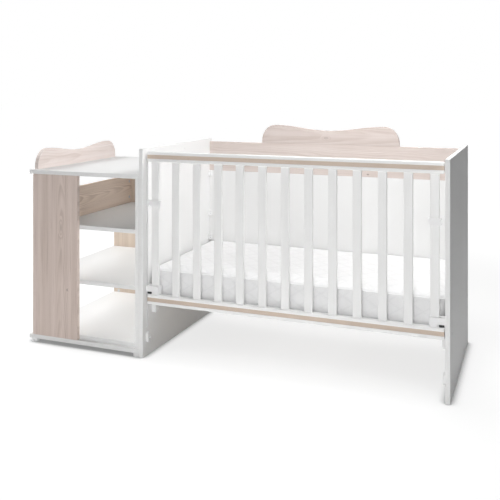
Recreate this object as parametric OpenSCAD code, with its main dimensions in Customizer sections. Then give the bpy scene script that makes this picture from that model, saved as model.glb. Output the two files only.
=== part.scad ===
// Cot with a drop side and an attached changing unit.
// +X runs along the cot from the changing unit, +Y runs from the drop side to the back, +Z is up.
// The origin is on the floor under the middle of the whole piece.

/* [Mattress] */
// Length of the mattress
mattress_l = 1230; // [1100:10:1300]
// Width of the mattress
mattress_w = 608; // [576:2:650]
// Thickness of the mattress
mattress_h = 130; // [80:5:150]
// Radius of the mattress's upright corners
mattress_r = 40; // [10:1:45]
// Gap from each end of the mattress to the end panel
mattress_end_gap = 5; // [4:1:30]
// Gap along each long side of the mattress and of its base
mattress_side_gap = 8; // [7:1:20]

/* [Boards] */
// Thickness of the structural boards
board_t = 18; // [16:1:22]
// Easing of the boards' edges
board_ease = 1.2; // [0.5:0.1:3]
// Height of the cot's end panels
end_h = 882; // [860:2:960]
// Thickness of the lower back panel
back_panel_t = 16; // [14:1:18]
// How far the back boards stand in from the back edges of the ends
back_recess = 6; // [0:1:12]
// Height of the lower edge of the back panel
back_panel_z = 190; // [120:2:220]
// Height of the back top board itself
top_board_h = 145; // [110:1:180]
// How far the back top board lies below the top of the end panels
top_board_drop = 15; // [0:1:30]

/* [Crests] */
// Length of the headboard crest
crest_l = 672; // [500:2:900]
// Length of the guard on the changing unit
guard_l = 647; // [500:1:660]
// Height of the two peaks of a crest
crest_peak = 90; // [78:1:120]
// Height of the dip between the peaks
crest_valley = 66; // [45:1:76]
// Height of the upright toe at each end of a crest
crest_toe = 12; // [6:1:20]
// Length of the quarter-ellipse shoulder at each end of a crest
crest_shoulder_l = 68; // [40:1:90]
// Distance from the changing unit's front to the guard
guard_front = 20; // [8:1:24]
// Distance from the changing unit's open end to the guard
guard_inset = 15; // [5:1:60]

/* [Drop side] */
// Thickness of the rails
rail_t = 24; // [20:1:26]
// Height of a rail
rail_h = 43; // [38:1:50]
// Easing of the rails' edges
rail_ease = 2.5; // [1:0.25:4]
// Distance from the front of the ends to the rails
rail_front = 28; // [20:1:36]
// Gap between a rail's end and the end panel
rail_end_gap = 6.5; // [3:0.5:8]
// Height of the underside of the top rail
top_rail_z = 825; // [800:1:836]
// Height of the underside of the bottom rail
bottom_rail_z = 220; // [210:1:245]
// How far the drop side slides down
drop_travel = 120; // [80:2:140]
// Height of the beige strip in each rail
strip_h = 16; // [10:1:22]
// Thickness of the strip
strip_t = 2.8; // [2:0.1:3.4]
// Depth of the groove that holds the strip
strip_groove_d = 4; // [3.5:0.1:4.4]
// Gap above and below the strip in its groove
strip_gap = 0.4; // [0.1:0.1:1]

/* [Slats] */
// Number of slats
slat_count = 13; // [12:1:14]
// Width of a slat
slat_w = 34; // [28:1:40]
// Thickness of a slat
slat_t = 14; // [12:1:16]
// Radius of a slat's upright edges
slat_r = 3; // [1:0.5:5]
// Gap from the end panel to the first slat
slat_end_gap = 24; // [22:1:30]
// Depth of a slat's end in its rail
tenon_l = 12; // [8:1:16]
// Gap round a slat's end
tenon_gap = 0.15; // [0.1:0.05:0.3]

/* [Guide tracks] */
// Width of the running channel
channel_w = 9; // [8:0.5:11]
// Depth of the running channel below the panel's face
channel_d = 5.5; // [4.5:0.1:6.5]
// Wall of the track
track_wall = 1.5; // [1:0.1:2]
// Width of the track across its lips
track_lip_w = 20; // [17:0.5:24]
// How far the lips stand out from the panel
track_lip_t = 1; // [0.6:0.1:1.2]
// Height of the track's lower end
track_z = 120; // [100:1:125]
// Height of the track's upper end
track_top_z = 824; // [760:1:850]
// Running gap beside and behind what slides in the channel
nose_gap = 0.4; // [0.3:0.05:0.6]

/* [Drop stops] */
// Width of a stop
stop_w = 22; // [18:1:34]
// How far a stop stands out from the panel
stop_reach = 11; // [9:1:18]
// Height of a stop
stop_h = 44; // [40:1:60]
// Width of the round cup in a stop
stop_cup_d = 12; // [8:1:15]
// Gap between a stop and the lowered rail
stop_gap = 0.3; // [0.2:0.1:1]

/* [Guide clips] */
// Height of the band round the end slat
clip_h = 24; // [18:1:32]
// Height of the band's lower edge
clip_z = 636; // [560:2:680]
// Wall of the band along the side's length
clip_side = 6; // [4:0.5:8]
// Wall of the band in front of and behind the slat
clip_cheek = 4; // [3:0.5:6]
// Height of the fork where it meets the track
clip_fork_h = 32; // [24:1:40]
// Height of the fork at its waist
clip_waist_h = 14; // [10:1:18]

/* [Latches] */
// Height of a latch housing
housing_h = 37; // [34:1:46]
// Wall of the housing
housing_wall = 1.4; // [1.2:0.1:2]
// Rear wall of the housing
housing_back_wall = 3.7; // [1.5:0.1:4]
// Wall of the housing past the slat
housing_tail = 2.5; // [2:0.5:6]
// Gap between the housing and the end panel
housing_end_gap = 1.5; // [1.3:0.1:2]
// How far a latch bolt slides each way from its riding place
latch_travel = 5; // [3:0.5:6]
// Running gap round the bolt
latch_gap = 0.3; // [0.2:0.05:0.4]
// Height of the latch bolt
bolt_h = 11.7; // [9:0.1:13]
// Thickness of the bolt's face plate
plate_t = 3.6; // [2.5:0.1:3.8]
// Length of the bolt's face plate
plate_l = 17; // [14:0.5:20]
// Length of the finger button
button_l = 11; // [8:0.5:13]
// How far the button stands out of the housing
button_proud = 2.5; // [1:0.5:5]
// Thickness of the bolt's tail
tail_w = 5; // [4:0.1:5.5]
// Outer diameter of the latch spring
spring_d = 4.6; // [3.6:0.1:5]
// Wire diameter of the latch spring
spring_wire = 0.7; // [0.4:0.1:0.9]
// Length of the latch spring with the bolt at its riding place
spring_l = 24; // [20:1:26]
// Turns of the latch spring
spring_turns = 9; // [6:1:12]

/* [Mattress base] */
// Height of the top of the base
base_z = 250; // [236:1:262]
// Height of the base's rails
base_rail_h = 27; // [25:1:45]
// Width of the ledge under the slats
ledge_w = 15; // [10:1:20]
// Height of the ledge
ledge_h = 12; // [8:1:16]
// Width of a base slat
base_slat_w = 60; // [40:1:80]
// Thickness of a base slat
base_slat_t = 10; // [8:1:14]
// Number of base slats
base_slat_count = 11; // [8:1:13]
// Gap between the base and what is round it
base_gap = 0.5; // [0.3:0.1:1]
// Width of a bracket under the base
bracket_w = 39; // [30:1:50]
// Height of a bracket
bracket_h = 52; // [46:1:70]
// How far a bracket reaches under the base
bracket_reach = 20; // [19:1:30]
// Distance from the base's corner to a bracket
bracket_inset = 20; // [16:1:60]
// How far the upper mattress position lies above the lower one
base_step = 265; // [200:5:300]

/* [Changing unit] */
// Length of the changing unit's top and base
changer_w = 562; // [480:2:700]
// Height of the changing surface
changer_h = 771; // [740:1:820]
// How far the top reaches past the uprights at the open end
changer_overhang = 19; // [0:1:40]
// Width of the wooden uprights
upright_w = 236; // [180:1:300]
// Height of the feet
foot_h = 16; // [8:1:30]
// Diameter of the feet
foot_d = 36; // [28:1:38]
// Distance from the front and back edges to a foot's centre
foot_inset = 20; // [19:1:50]
// Distance from the open end to a foot's centre
foot_end_inset = 20; // [19:1:80]
// Height of the underside of the middle shelf
middle_shelf_z = 277; // [220:1:320]
// Height of the underside of the upper shelf
upper_shelf_z = 517; // [440:1:560]
// Height of the gallery rail
gallery_h = 142; // [90:1:170]
// Distance from the open end to the gallery rail
gallery_inset = 110; // [60:1:200]
// Gap between the changing unit and the cot
join_gap = 0.6; // [0.3:0.1:2]

/* [Fittings] */
// Diameter of a cam disc
cam_d = 15; // [12:1:18]
// Depth of a cam disc
cam_depth = 12.5; // [10:0.5:13]
// Distance from a board's end to its cam disc
cam_setback = 24; // [18:1:34]
// Diameter of a cam bolt
cam_bolt_d = 6; // [5:0.5:7]
// Depth of a cam bolt in the board it is screwed into
cam_bolt_in = 11; // [8:0.5:12]
// Distance from a board's edge to its cam fittings
cam_edge = 30; // [24:1:40]
// Distance from a deep board's corner to its cam fittings
cam_inset = 98; // [70:1:140]
// Diameter of a wooden dowel
dowel_d = 8; // [6:1:10]
// Length of a wooden dowel
dowel_l = 32; // [26:1:36]
// Depth of a dowel in the board below
dowel_in = 12; // [8:1:14]
// Distance from a crest's middle to its outer dowels
dowel_pitch = 200; // [120:5:225]
// Diameter of a machine bolt
bolt_d = 6; // [5:0.5:8]
// Diameter of a machine bolt's head
bolt_head_d = 12; // [10:0.5:14]
// Height of a machine bolt's head
bolt_head_h = 4; // [3:0.25:5]
// Diameter of a wood screw
screw_d = 3; // [2.5:0.1:3.5]
// Diameter of a wood screw's head
screw_head_d = 6; // [5:0.25:7]
// Gap round a fitting in its hole
fit_gap = 0.1; // [0.05:0.05:0.2]
// Size of a corner block
block_w = 14; // [12:1:18]
// Height of a corner block
block_h = 24; // [18:1:40]

/* [Hidden] */
WHITE = [0.93, 0.93, 0.925];
PLASTIC = [0.96, 0.96, 0.96];
OAK = [0.70, 0.64, 0.58];
BEIGE = [0.66, 0.59, 0.52];
BEECH = [0.85, 0.74, 0.58];
BLACK = [0.08, 0.08, 0.085];
STEEL = [0.72, 0.73, 0.75];
CLOTH = [0.96, 0.96, 0.96];

$fn = 48;
over = 1;               // how far a cut runs past the face that it opens
sunk = 0.5;             // how far a bolt's head lies below the face round it

// Cot, along X
inner_l = mattress_l + 2 * mattress_end_gap;
total_w = changer_w + join_gap + 2 * board_t + inner_l;
x_in_r = total_w / 2 - board_t;
x_in_l = x_in_r - inner_l;
x_out_l = x_in_l - board_t;
x_cot = (x_in_l + x_in_r) / 2;

// Cot, along Y
rail_back = rail_front + rail_t;
outer_d = rail_back + 2 * mattress_side_gap + mattress_w + board_t + back_recess;
y_front = -outer_d / 2;
y_back = outer_d / 2;
yc = rail_front + rail_t / 2;                 // middle of the drop side, from the front plane
y_back_face = outer_d - back_recess - board_t; // front face of the back boards, from the front plane
y_back_mid = y_back - back_recess - board_t / 2;

// Back boards and crests
top_board_top = end_h - top_board_drop;
top_board_z = top_board_top - top_board_h;

// Slats
slat_pitch = (inner_l - 2 * slat_end_gap - slat_w) / (slat_count - 1);
bottom_rail_top = bottom_rail_z + rail_h;
slat_z = bottom_rail_top - tenon_l;
slat_l = top_rail_z + tenon_l - slat_z;
slat_front = yc - slat_t / 2;
slat_back = yc + slat_t / 2;

// Guide tracks
track_d = channel_d + track_wall;
track_w = channel_w + 2 * track_wall;
nose_w = channel_w - 2 * nose_gap;
nose_x = -(channel_d - nose_gap);             // tip of a nose, from the panel's inner face
track_screw_l = 17;

// Latches, from the panel's inner face, the front plane and the floor
bolt_z = bottom_rail_top + latch_gap;
bolt_top = bolt_z + bolt_h;
cavity_top = bolt_top + latch_gap;
housing_x1 = slat_end_gap + slat_w + housing_tail;
housing_front = rail_front - 1;
plate_y = housing_front + housing_wall + latch_gap;
plate_x = housing_end_gap + housing_wall + latch_gap + latch_travel;
plate_inset = 4;                              // from the plate's end to the button
button_x = plate_x + plate_inset;
button_z = bolt_z + 3.2;
slot_margin = 2;                              // room beside the button at the ends of its travel
bolt_back = slat_end_gap - 8;                 // where the bolt ends in front of the slat
tail_y = slat_back + 2 * latch_gap + housing_wall;
tail_x = plate_x + 2;
spring_x1 = slat_end_gap + slat_w - 6;        // the housing wall that the spring pushes against
spring_x0 = spring_x1 - spring_l;
housing_y1 = tail_y + tail_w + latch_gap + housing_back_wall;
guide_nose_z = bottom_rail_top + 17;
guide_nose_h = 16;
strike_gap = 0.6;
strike_x = nose_x - latch_travel - 0.9;       // bottom of a strike pocket
low_strike_top = bolt_top - drop_travel + strike_gap; // top of the lower strike pocket
track_screws = [low_strike_top + 14, (track_z + track_top_z) / 2, track_top_z - 14];
housing_screw_x = slat_end_gap + slat_w / 2;
housing_screw_z = (cavity_top + bottom_rail_top + housing_h) / 2;
housing_screw_seat = housing_y1 - 2;           // where a housing screw's head sits
housing_screw_l = housing_screw_seat - slat_back + slat_t / 2;

// Drop stops
stop_top = bottom_rail_z - drop_travel - stop_gap;
stop_seat = 5;                                // floor of the cup, where the screw's head sits
stop_screw_l = stop_seat + 12;

// Mattress base, from the front plane
base_y0 = rail_back + mattress_side_gap;
base_y1 = y_back_face - mattress_side_gap;
base_rail_z = base_z - base_rail_h;
base_bolt_z = base_rail_z + 10;
base_bolt_ys = [base_y0 + 12, base_y1 - 38];
base_bolt_zs = [base_bolt_z, base_bolt_z + base_step];
bolt_cup_d = bolt_head_d + 2;
bolt_cup_h = bolt_head_h + sunk + 0.5;
bolt_tip = 14;                                // how far a base bolt reaches into the cot
nut_d = 10;
nut_l = 15;
bracket_screw_in = 15;                        // from a bracket's ends to its screws
bracket_seat = 14;                            // where a bracket screw's head sits
bracket_screw_l = bracket_seat + 12;
cap_d = 9;
cap_t = 1;
cap_stem_l = 6;

// Fitting holes for the second use of the end panels
spare_hole_d = 5;
spare_hole_in = 12;
spare_hole_ys = [260, 395];
spare_hole_z = end_h - 31;

// Corner blocks
block_drops = [335, 214, 15];                   // from the top board's lower edge down to the blocks
block_zs = [for (drop = block_drops) top_board_z - drop];
block_seat = block_w / 2;
block_screw_l = block_seat + 10;
block_screw_dz = 5;

// Changing unit
x_ch_r = x_out_l - join_gap;
x_ch_l = x_ch_r - changer_w;
x_side = x_ch_r - board_t;                    // inner face of the side panel
x_up_l = x_ch_l + changer_overhang;
x_up_r = x_up_l + upright_w;
top_z = changer_h - board_t;
deck_z = foot_h + board_t;
y_up_in = y_front + board_t;                  // inner face of the front upright
y_up_back = y_back - back_recess - board_t;   // inner face of the back upright
shelf_d = y_up_back - y_up_in;
shelf_l = x_side - x_up_l;
x_gallery = x_ch_l + gallery_inset;
gallery_z = upper_shelf_z + board_t;
y_guard_mid = y_front + guard_front + guard_l / 2;
x_guard = x_ch_l + guard_inset;
join_inset = 100;                             // from the front and back edges to a joining bolt
join_drops = [103, 603];                      // from the top's lower face down to the joining bolts
join_ys = [join_inset, outer_d - join_inset];
join_zs = [for (drop = join_drops) top_z - drop];
join_tip = 12;                                // depth of a joining bolt in the cot's panel
end_foot_inset = foot_d / 2 + 0.4;            // keeps the inner feet clear of the cot's panel

// Cam fittings: [place on the joint plane, turn, thickness of the board that holds the disc].
// A fitting's own x runs into that board and its disc opens towards the fitting's -z.
back_cams = [
    for (z = [top_board_z + cam_edge, top_board_top - cam_edge]) each [
        [[x_in_l, y_back_mid, z], [90, 0, 0], board_t],
        [[x_in_r, y_back_mid, z], [-90, 0, 180], board_t]
    ]
];
panel_cam_y = y_front + y_back_face + back_panel_t / 2;
panel_cams = [
    for (z = [back_panel_z + cam_edge, top_board_z - 2 * cam_edge]) each [
        [[x_in_l, panel_cam_y, z], [90, 0, 0], back_panel_t],
        [[x_in_r, panel_cam_y, z], [-90, 0, 180], back_panel_t]
    ]
];
up_xs = [x_up_l + cam_edge, x_up_r - cam_edge];
side_ys = [y_front + cam_inset, y_back - cam_inset];
function shelf_cams(z) = concat(
    [for (y = side_ys) [[x_side, y, z + board_t / 2], [0, 0, 180], board_t]],
    [for (x = up_xs) [[x, y_up_in, z + board_t / 2], [0, 0, 90], board_t]],
    [for (x = up_xs) [[x, y_up_back, z + board_t / 2], [0, 0, -90], board_t]]
);
front_up_cams = [
    for (x = up_xs) each [
        [[x, y_front + board_t / 2, top_z], [90, 90, 0], board_t],
        [[x, y_front + board_t / 2, deck_z], [90, -90, 0], board_t]
    ]
];
back_up_cams = [
    for (x = up_xs) each [
        [[x, y_back_mid, top_z], [-90, 90, 0], board_t],
        [[x, y_back_mid, deck_z], [-90, -90, 0], board_t]
    ]
];
side_cams = [
    for (y = side_ys) each [
        [[x_ch_r - board_t / 2, y, top_z], [180, 90, 0], board_t],
        [[x_ch_r - board_t / 2, y, deck_z], [0, -90, 0], board_t]
    ]
];
gallery_cams = [
    for (z = [gallery_z + cam_edge, gallery_z + gallery_h - cam_edge]) each [
        [[x_gallery + board_t / 2, y_up_in, z], [-90, 0, 90], board_t],
        [[x_gallery + board_t / 2, y_up_back, z], [90, 0, -90], board_t]
    ]
];
upper_shelf_cams = shelf_cams(upper_shelf_z);
middle_shelf_cams = shelf_cams(middle_shelf_z);
all_cams = concat(back_cams, panel_cams, upper_shelf_cams, middle_shelf_cams,
                  front_up_cams, back_up_cams, side_cams, gallery_cams);

// ---- Shared shapes ----

// A rectangle from the origin with its corners cut at 45 degrees.
module eased_rect(a, b, e)
    polygon([[e, 0], [a - e, 0], [a, e], [a, b - e], [a - e, b], [e, b], [0, b - e], [0, e]]);

// A board from the origin with every edge eased.
module board(l, d, h, e = board_ease) {
    intersection() {
        translate([0, 0, -over])
            linear_extrude(h + 2 * over) eased_rect(l, d, e);
        translate([0, d + over, 0]) rotate([90, 0, 0])
            linear_extrude(d + 2 * over) eased_rect(l, h, e);
        translate([-over, 0, 0]) rotate([90, 0, 90])
            linear_extrude(l + 2 * over) eased_rect(d, h, e);
    }
}

// The outline of a rectangle about the origin with rounded corners.
function round_rect(a, b, r, steps) = [
    for (c = [[1, 1, 0], [-1, 1, 90], [-1, -1, 180], [1, -1, 270]])
        for (i = [0:steps])
            let (t = c[2] + 90 * i / steps)
            [c[0] * (a / 2 - r) + r * cos(t), c[1] * (b / 2 - r) + r * sin(t)]
];

// Places children at one end of the cot: x from the panel's inner face, y from the front plane.
module at_end(side)
    translate([side < 0 ? x_in_l : x_in_r, y_front, 0])
        mirror([side < 0 ? 0 : 1, 0, 0]) children();

// A box between two corners.
module span(a, b) translate(a) cube(b - a);

// A countersunk screw: its head is flush at the origin and it points along -X.
module screw(l, gap = 0) {
    head_h = (screw_head_d - screw_d) / 2;
    rotate([0, 90, 0]) {
        translate([0, 0, -head_h])
            cylinder(h = head_h, r1 = screw_d / 2 + gap, r2 = screw_head_d / 2 + gap);
        translate([0, 0, -l]) cylinder(h = l - head_h, r = screw_d / 2 + gap);
    }
}

// A machine bolt with a hexagon socket: its head starts at the origin and it points along +X.
module machine_bolt(l) {
    socket = bolt_head_h * 0.6;
    rotate([0, 90, 0]) difference() {
        union() {
            cylinder(h = bolt_head_h, d = bolt_head_d);
            translate([0, 0, bolt_head_h]) cylinder(h = l - bolt_head_h, d = bolt_d);
        }
        translate([0, 0, -over]) cylinder(h = socket + over, d = bolt_d * 0.75, $fn = 6);
    }
}

// A round hole from x = a to x = b along X.
module bore_x(a, b, d)
    translate([a, 0, 0]) rotate([0, 90, 0]) cylinder(h = b - a, d = d);

// ---- Cam fittings ----

module at_cam(c) translate(c[0]) rotate(c[1]) children();

module cam_disc(t)
    translate([cam_setback, 0, -t / 2]) difference() {
        cylinder(h = cam_depth, d = cam_d);
        translate([-cam_d * 0.22, -0.6, -over]) cube([cam_d * 0.44, 1.2, 1 + over]);
        translate([-0.6, -cam_d * 0.22, -over]) cube([1.2, cam_d * 0.44, 1 + over]);
    }

module cam_bolt() {
    tip = cam_setback - cam_d / 2 - fit_gap;
    head_l = 3;
    neck_l = 4;
    bore_x(-cam_bolt_in, tip - head_l - neck_l, cam_bolt_d);
    bore_x(tip - head_l - neck_l, tip - head_l, cam_bolt_d * 0.6);
    bore_x(tip - head_l, tip, cam_bolt_d + 1);
}

// What a board that holds cam discs has cut out of it.
module disc_cuts(cams)
    for (c = cams) at_cam(c) {
        translate([cam_setback, 0, -c[2] / 2 - over])
            cylinder(h = cam_depth + over + fit_gap, d = cam_d + 2 * fit_gap);
        bore_x(-over, cam_setback, cam_bolt_d + 1 + 2 * fit_gap);
    }

// What a board that holds cam bolts has cut out of it.
module cam_bolt_cuts(cams)
    for (c = cams) at_cam(c) bore_x(-cam_bolt_in - fit_gap, over, cam_bolt_d + 2 * fit_gap);

module cam_discs() color(STEEL) for (c = all_cams) at_cam(c) cam_disc(c[2]);

module cam_bolts() color(STEEL) for (c = all_cams) at_cam(c) cam_bolt();

// ---- Crests and their dowels ----

// Height of a crest's top edge at x from its middle, between the shoulders.
function crest_top(x, shoulder) =
    crest_valley + (crest_peak - crest_valley) * (1 - cos(180 * x / shoulder)) / 2;

// The saddle outline of a crest: two peaks, a shallow dip and quarter-ellipse shoulders.
function crest_outline(l) = let (
    shoulder = l / 2 - crest_shoulder_l,
    rise = crest_peak - crest_toe,
    right = [for (t = [0:9:90]) [shoulder + crest_shoulder_l * cos(t), crest_toe + rise * sin(t)]],
    saddle = [for (i = [1:23]) let (x = shoulder * (1 - i / 12)) [x, crest_top(x, shoulder)]],
    left = [for (t = [90:-9:0]) [-shoulder - crest_shoulder_l * cos(t), crest_toe + rise * sin(t)]]
) concat([[-l / 2, 0], [l / 2, 0]], right, saddle, left);

// A crest standing on z = 0, its length along X and its thickness from y = 0, holes for its dowels.
module crest(l)
    difference() {
        translate([0, board_t, 0]) rotate([90, 0, 0])
            linear_extrude(board_t) polygon(crest_outline(l));
        dowel_holes() translate([0, 0, -over])
            cylinder(h = dowel_l - dowel_in + over + fit_gap, d = dowel_d + 2 * fit_gap);
    }

// Places children at the dowels of a crest.
module dowel_holes()
    for (x = [-dowel_pitch, 0, dowel_pitch]) translate([x, board_t / 2, 0]) children();

module at_headboard_crest() translate([x_cot, y_front + y_back_face, top_board_top]) children();

module at_guard() translate([x_guard + board_t, y_guard_mid, changer_h]) rotate([0, 0, 90]) children();

module headboard_crest() color(OAK) at_headboard_crest() crest(crest_l);

module changer_guard() color(OAK) at_guard() crest(guard_l);

module dowel() translate([0, 0, -dowel_in]) cylinder(h = dowel_l, d = dowel_d);

module dowels() color(BEECH) {
    at_headboard_crest() dowel_holes() dowel();
    at_guard() dowel_holes() dowel();
}

// What the board under a crest has cut out of it.
module dowel_cuts()
    dowel_holes() translate([0, 0, -dowel_in - fit_gap])
        cylinder(h = dowel_in + over + fit_gap, d = dowel_d + 2 * fit_gap);

// ---- End panels ----

// A track's groove, its strike pockets and its screws, as cut from an end panel.
module track_cuts() {
    span([-track_d, yc - track_w / 2, track_z], [over, yc + track_w / 2, track_top_z]);
    strike_pockets();
    for (z = track_screws) translate([-channel_d, yc, z]) screw(track_screw_l - channel_d, fit_gap);
}

// The two pockets that a latch bolt drops into, at the top and at the bottom of the travel.
module strike_pockets()
    for (drop = [0, drop_travel])
        span([strike_x, yc - channel_w / 2, bolt_z - drop - strike_gap],
             [-channel_d + over, yc + channel_w / 2, bolt_top - drop + strike_gap]);

module base_bolt_cuts()
    for (y = base_bolt_ys, z = base_bolt_zs) translate([0, y, z]) {
        bore_x(-board_t - over, over, bolt_d + 2 * fit_gap);
        bore_x(-board_t - over, -board_t + bolt_cup_h, bolt_cup_d);
    }

module spare_holes()
    for (y = spare_hole_ys) translate([0, y, spare_hole_z]) bore_x(-spare_hole_in, over, spare_hole_d);

module end_panel(side) {
    difference() {
        translate([side < 0 ? x_out_l : x_in_r, y_front, 0]) board(board_t, outer_d, end_h);
        at_end(side) {
            track_cuts();
            base_bolt_cuts();
            spare_holes();
            stop_screw(fit_gap);
            bracket_screws(fit_gap);
            block_panel_screws(fit_gap);
        }
        cam_bolt_cuts(concat(back_cams, panel_cams));
    }
}

module end_panel_left() color(WHITE) difference() {
    end_panel(-1);
    at_joins() bore_x(0, board_t + join_gap + join_tip + fit_gap, bolt_d + 2 * fit_gap);
}

module end_panel_right() color(WHITE) end_panel(1);

// ---- Back of the cot ----

module back_top_board() color(OAK) difference() {
    translate([x_in_l, y_front + y_back_face, top_board_z]) board(inner_l, board_t, top_board_h);
    disc_cuts(back_cams);
    at_headboard_crest() dowel_cuts();
}

module back_panel() color(WHITE) difference() {
    translate([x_in_l, y_front + y_back_face, back_panel_z])
        board(inner_l, back_panel_t, top_board_z - back_panel_z);
    disc_cuts(panel_cams);
    for (side = [-1, 1]) at_end(side) block_back_screws(fit_gap);
}

// Screws from a corner block into the end panel, and into the back panel.
module block_panel_screws(gap = 0)
    for (z = block_zs) translate([block_seat, y_back_face - block_w * 0.6, z + block_screw_dz])
        screw(block_screw_l, gap);

module block_back_screws(gap = 0)
    for (z = block_zs) translate([block_w * 0.6, y_back_face - block_seat, z - block_screw_dz])
        rotate([0, 0, -90]) screw(block_screw_l, gap);

module corner_block()
    linear_extrude(block_h)
        polygon([[0, 0], [block_w, 0], [block_w, -block_w * 0.3], [block_w * 0.3, -block_w], [0, -block_w]]);

module corner_blocks() color(PLASTIC)
    for (side = [-1, 1]) at_end(side) difference() {
        for (z = block_zs) translate([0, y_back_face, z - block_h / 2]) corner_block();
        block_panel_screws(fit_gap);
        block_back_screws(fit_gap);
        for (z = block_zs) {
            translate([block_seat, y_back_face - block_w * 0.6, z + block_screw_dz])
                bore_x(0, block_w, screw_head_d + 2 * fit_gap);
            translate([block_w * 0.6, y_back_face - block_seat, z - block_screw_dz])
                rotate([0, 0, -90]) bore_x(0, block_w, screw_head_d + 2 * fit_gap);
        }
    }

// ---- Mattress base ----

module base_end_rails() color(WHITE)
    for (side = [-1, 1]) at_end(side) difference() {
        translate([base_gap, base_y0, base_rail_z]) board(board_t, base_y1 - base_y0, base_rail_h);
        for (y = base_bolt_ys) translate([0, y, base_bolt_z]) {
            bore_x(0, base_gap + board_t - nut_l, bolt_d + 2 * fit_gap);
            bore_x(base_gap + board_t - nut_l, base_gap + board_t + over, nut_d + 2 * fit_gap);
        }
    }

// A side rail with its ledge: the rail's outer face is at y = 0 and the ledge reaches to +Y.
module base_side_rail() {
    l = inner_l - 2 * (base_gap + board_t);
    board(l, board_t, base_rail_h);
    translate([0, board_t - board_ease, base_rail_h - base_slat_t - ledge_h])
        cube([l, ledge_w + board_ease, ledge_h]);
}

module base_side_rail_front() color(WHITE)
    translate([x_in_l + base_gap + board_t, y_front + base_y0, base_rail_z]) base_side_rail();

module base_side_rail_back() color(WHITE)
    translate([x_in_l + base_gap + board_t, y_front + base_y1, base_rail_z])
        mirror([0, 1, 0]) base_side_rail();

module base_slats() color(BEECH) {
    clear_l = inner_l - 2 * (base_gap + board_t);
    pitch = clear_l / base_slat_count;
    l = base_y1 - base_y0 - 2 * (board_t + base_gap);
    for (i = [0:base_slat_count - 1])
        translate([x_in_l + base_gap + board_t + (i + 0.5) * pitch - base_slat_w / 2,
                   y_front + base_y0 + board_t + base_gap, base_z - base_slat_t])
            board(base_slat_w, l, base_slat_t, base_slat_t * 0.15);
}

// The brackets of one end: their near faces and the heights of their screws.
bracket_ys = [base_y0 + bracket_inset, base_y1 - bracket_inset - bracket_w];
bracket_screw_zs = [base_rail_z - bracket_screw_in, base_rail_z - bracket_h + bracket_screw_in];

module bracket_screws(gap = 0)
    for (y = bracket_ys, z = bracket_screw_zs) translate([bracket_seat, y + bracket_w / 2, z])
        screw(bracket_screw_l, gap);

module base_brackets() color(PLASTIC)
    for (side = [-1, 1]) at_end(side) difference() {
        for (y = bracket_ys) translate([0, y, base_rail_z - bracket_h])
            board(bracket_reach, bracket_w, bracket_h);
        bracket_screws(fit_gap);
        for (y = bracket_ys, z = bracket_screw_zs) translate([bracket_seat, y + bracket_w / 2, z])
            bore_x(0, bracket_reach, screw_head_d + 2 * fit_gap);
    }

module base_bolts() color(STEEL)
    for (side = [-1, 1]) at_end(side)
        for (y = base_bolt_ys) translate([-board_t + sunk + 0.5, y, base_bolt_z])
            machine_bolt(board_t - sunk - 0.5 + bolt_tip);

module base_insert_nuts() color(STEEL)
    for (side = [-1, 1]) at_end(side)
        for (y = base_bolt_ys) translate([base_gap + board_t - nut_l, y, base_bolt_z]) difference() {
            bore_x(0, nut_l - sunk, nut_d);
            bore_x(-over, nut_l + over, bolt_d + fit_gap);
        }

// Plugs in the upper row of bolt holes: a domed cap inside and a flush plug outside.
module bolt_hole_caps() color(PLASTIC)
    for (side = [-1, 1]) at_end(side)
        for (y = base_bolt_ys) translate([0, y, base_bolt_z + base_step]) {
            rotate([0, 90, 0]) cylinder(h = cap_t, d1 = cap_d, d2 = cap_d - 2 * cap_t);
            bore_x(-cap_stem_l, 0, bolt_d);
            bore_x(-board_t, -board_t + bolt_cup_h - fit_gap, bolt_cup_d - 2 * fit_gap);
        }

// ---- Guide tracks and stops ----

// Plan outline of a track: a channel with a lip along each side.
function track_outline() = let (c = channel_w / 2, w = track_w / 2, f = track_lip_w / 2) [
    [track_lip_t, -f], [track_lip_t, -c], [-channel_d, -c], [-channel_d, c], [track_lip_t, c],
    [track_lip_t, f], [0, f], [0, w], [-track_d, w], [-track_d, -w], [0, -w], [0, -f]
];

module guide_track(side) color(PLASTIC) at_end(side) difference() {
    translate([0, yc, track_z]) linear_extrude(track_top_z - track_z) polygon(track_outline());
    for (drop = [0, drop_travel])
        span([-track_d - over, yc - channel_w / 2, bolt_z - drop - strike_gap],
             [-channel_d + over, yc + channel_w / 2, bolt_top - drop + strike_gap]);
    for (z = track_screws) translate([-channel_d, yc, z]) screw(track_screw_l - channel_d, fit_gap);
}

module guide_track_left() guide_track(-1);

module guide_track_right() guide_track(1);

module track_screw_set()
    for (z = track_screws) translate([-channel_d, yc, z]) screw(track_screw_l - channel_d);

module stop_screw(gap = 0)
    translate([stop_seat, yc, stop_top - stop_h / 2]) screw(stop_screw_l, gap);

// A stop: a cupped bumper with round ends that takes the lowered rail on its top.
module drop_stop() {
    r = stop_w / 2;
    difference() {
        translate([0, yc, 0]) rotate([90, 0, 90]) linear_extrude(stop_reach)
            polygon(concat(
                [for (t = [180:12:360]) [r * cos(t), stop_top - stop_h + r + r * sin(t)]],
                [for (t = [0:12:180]) [r * cos(t), stop_top - r + r * sin(t)]]
            ));
        stop_screw(fit_gap);
        translate([stop_seat, yc, stop_top - stop_h / 2]) bore_x(0, stop_reach, stop_cup_d);
    }
}

module drop_stops() color(PLASTIC) for (side = [-1, 1]) at_end(side) drop_stop();

module panel_screws() color(STEEL)
    for (side = [-1, 1]) at_end(side) {
        track_screw_set();
        stop_screw();
        bracket_screws();
        block_panel_screws();
        block_back_screws();
    }

// ---- Drop side ----

function slat_x(i) = x_in_l + slat_end_gap + slat_w / 2 + (i - 1) * slat_pitch;

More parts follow.
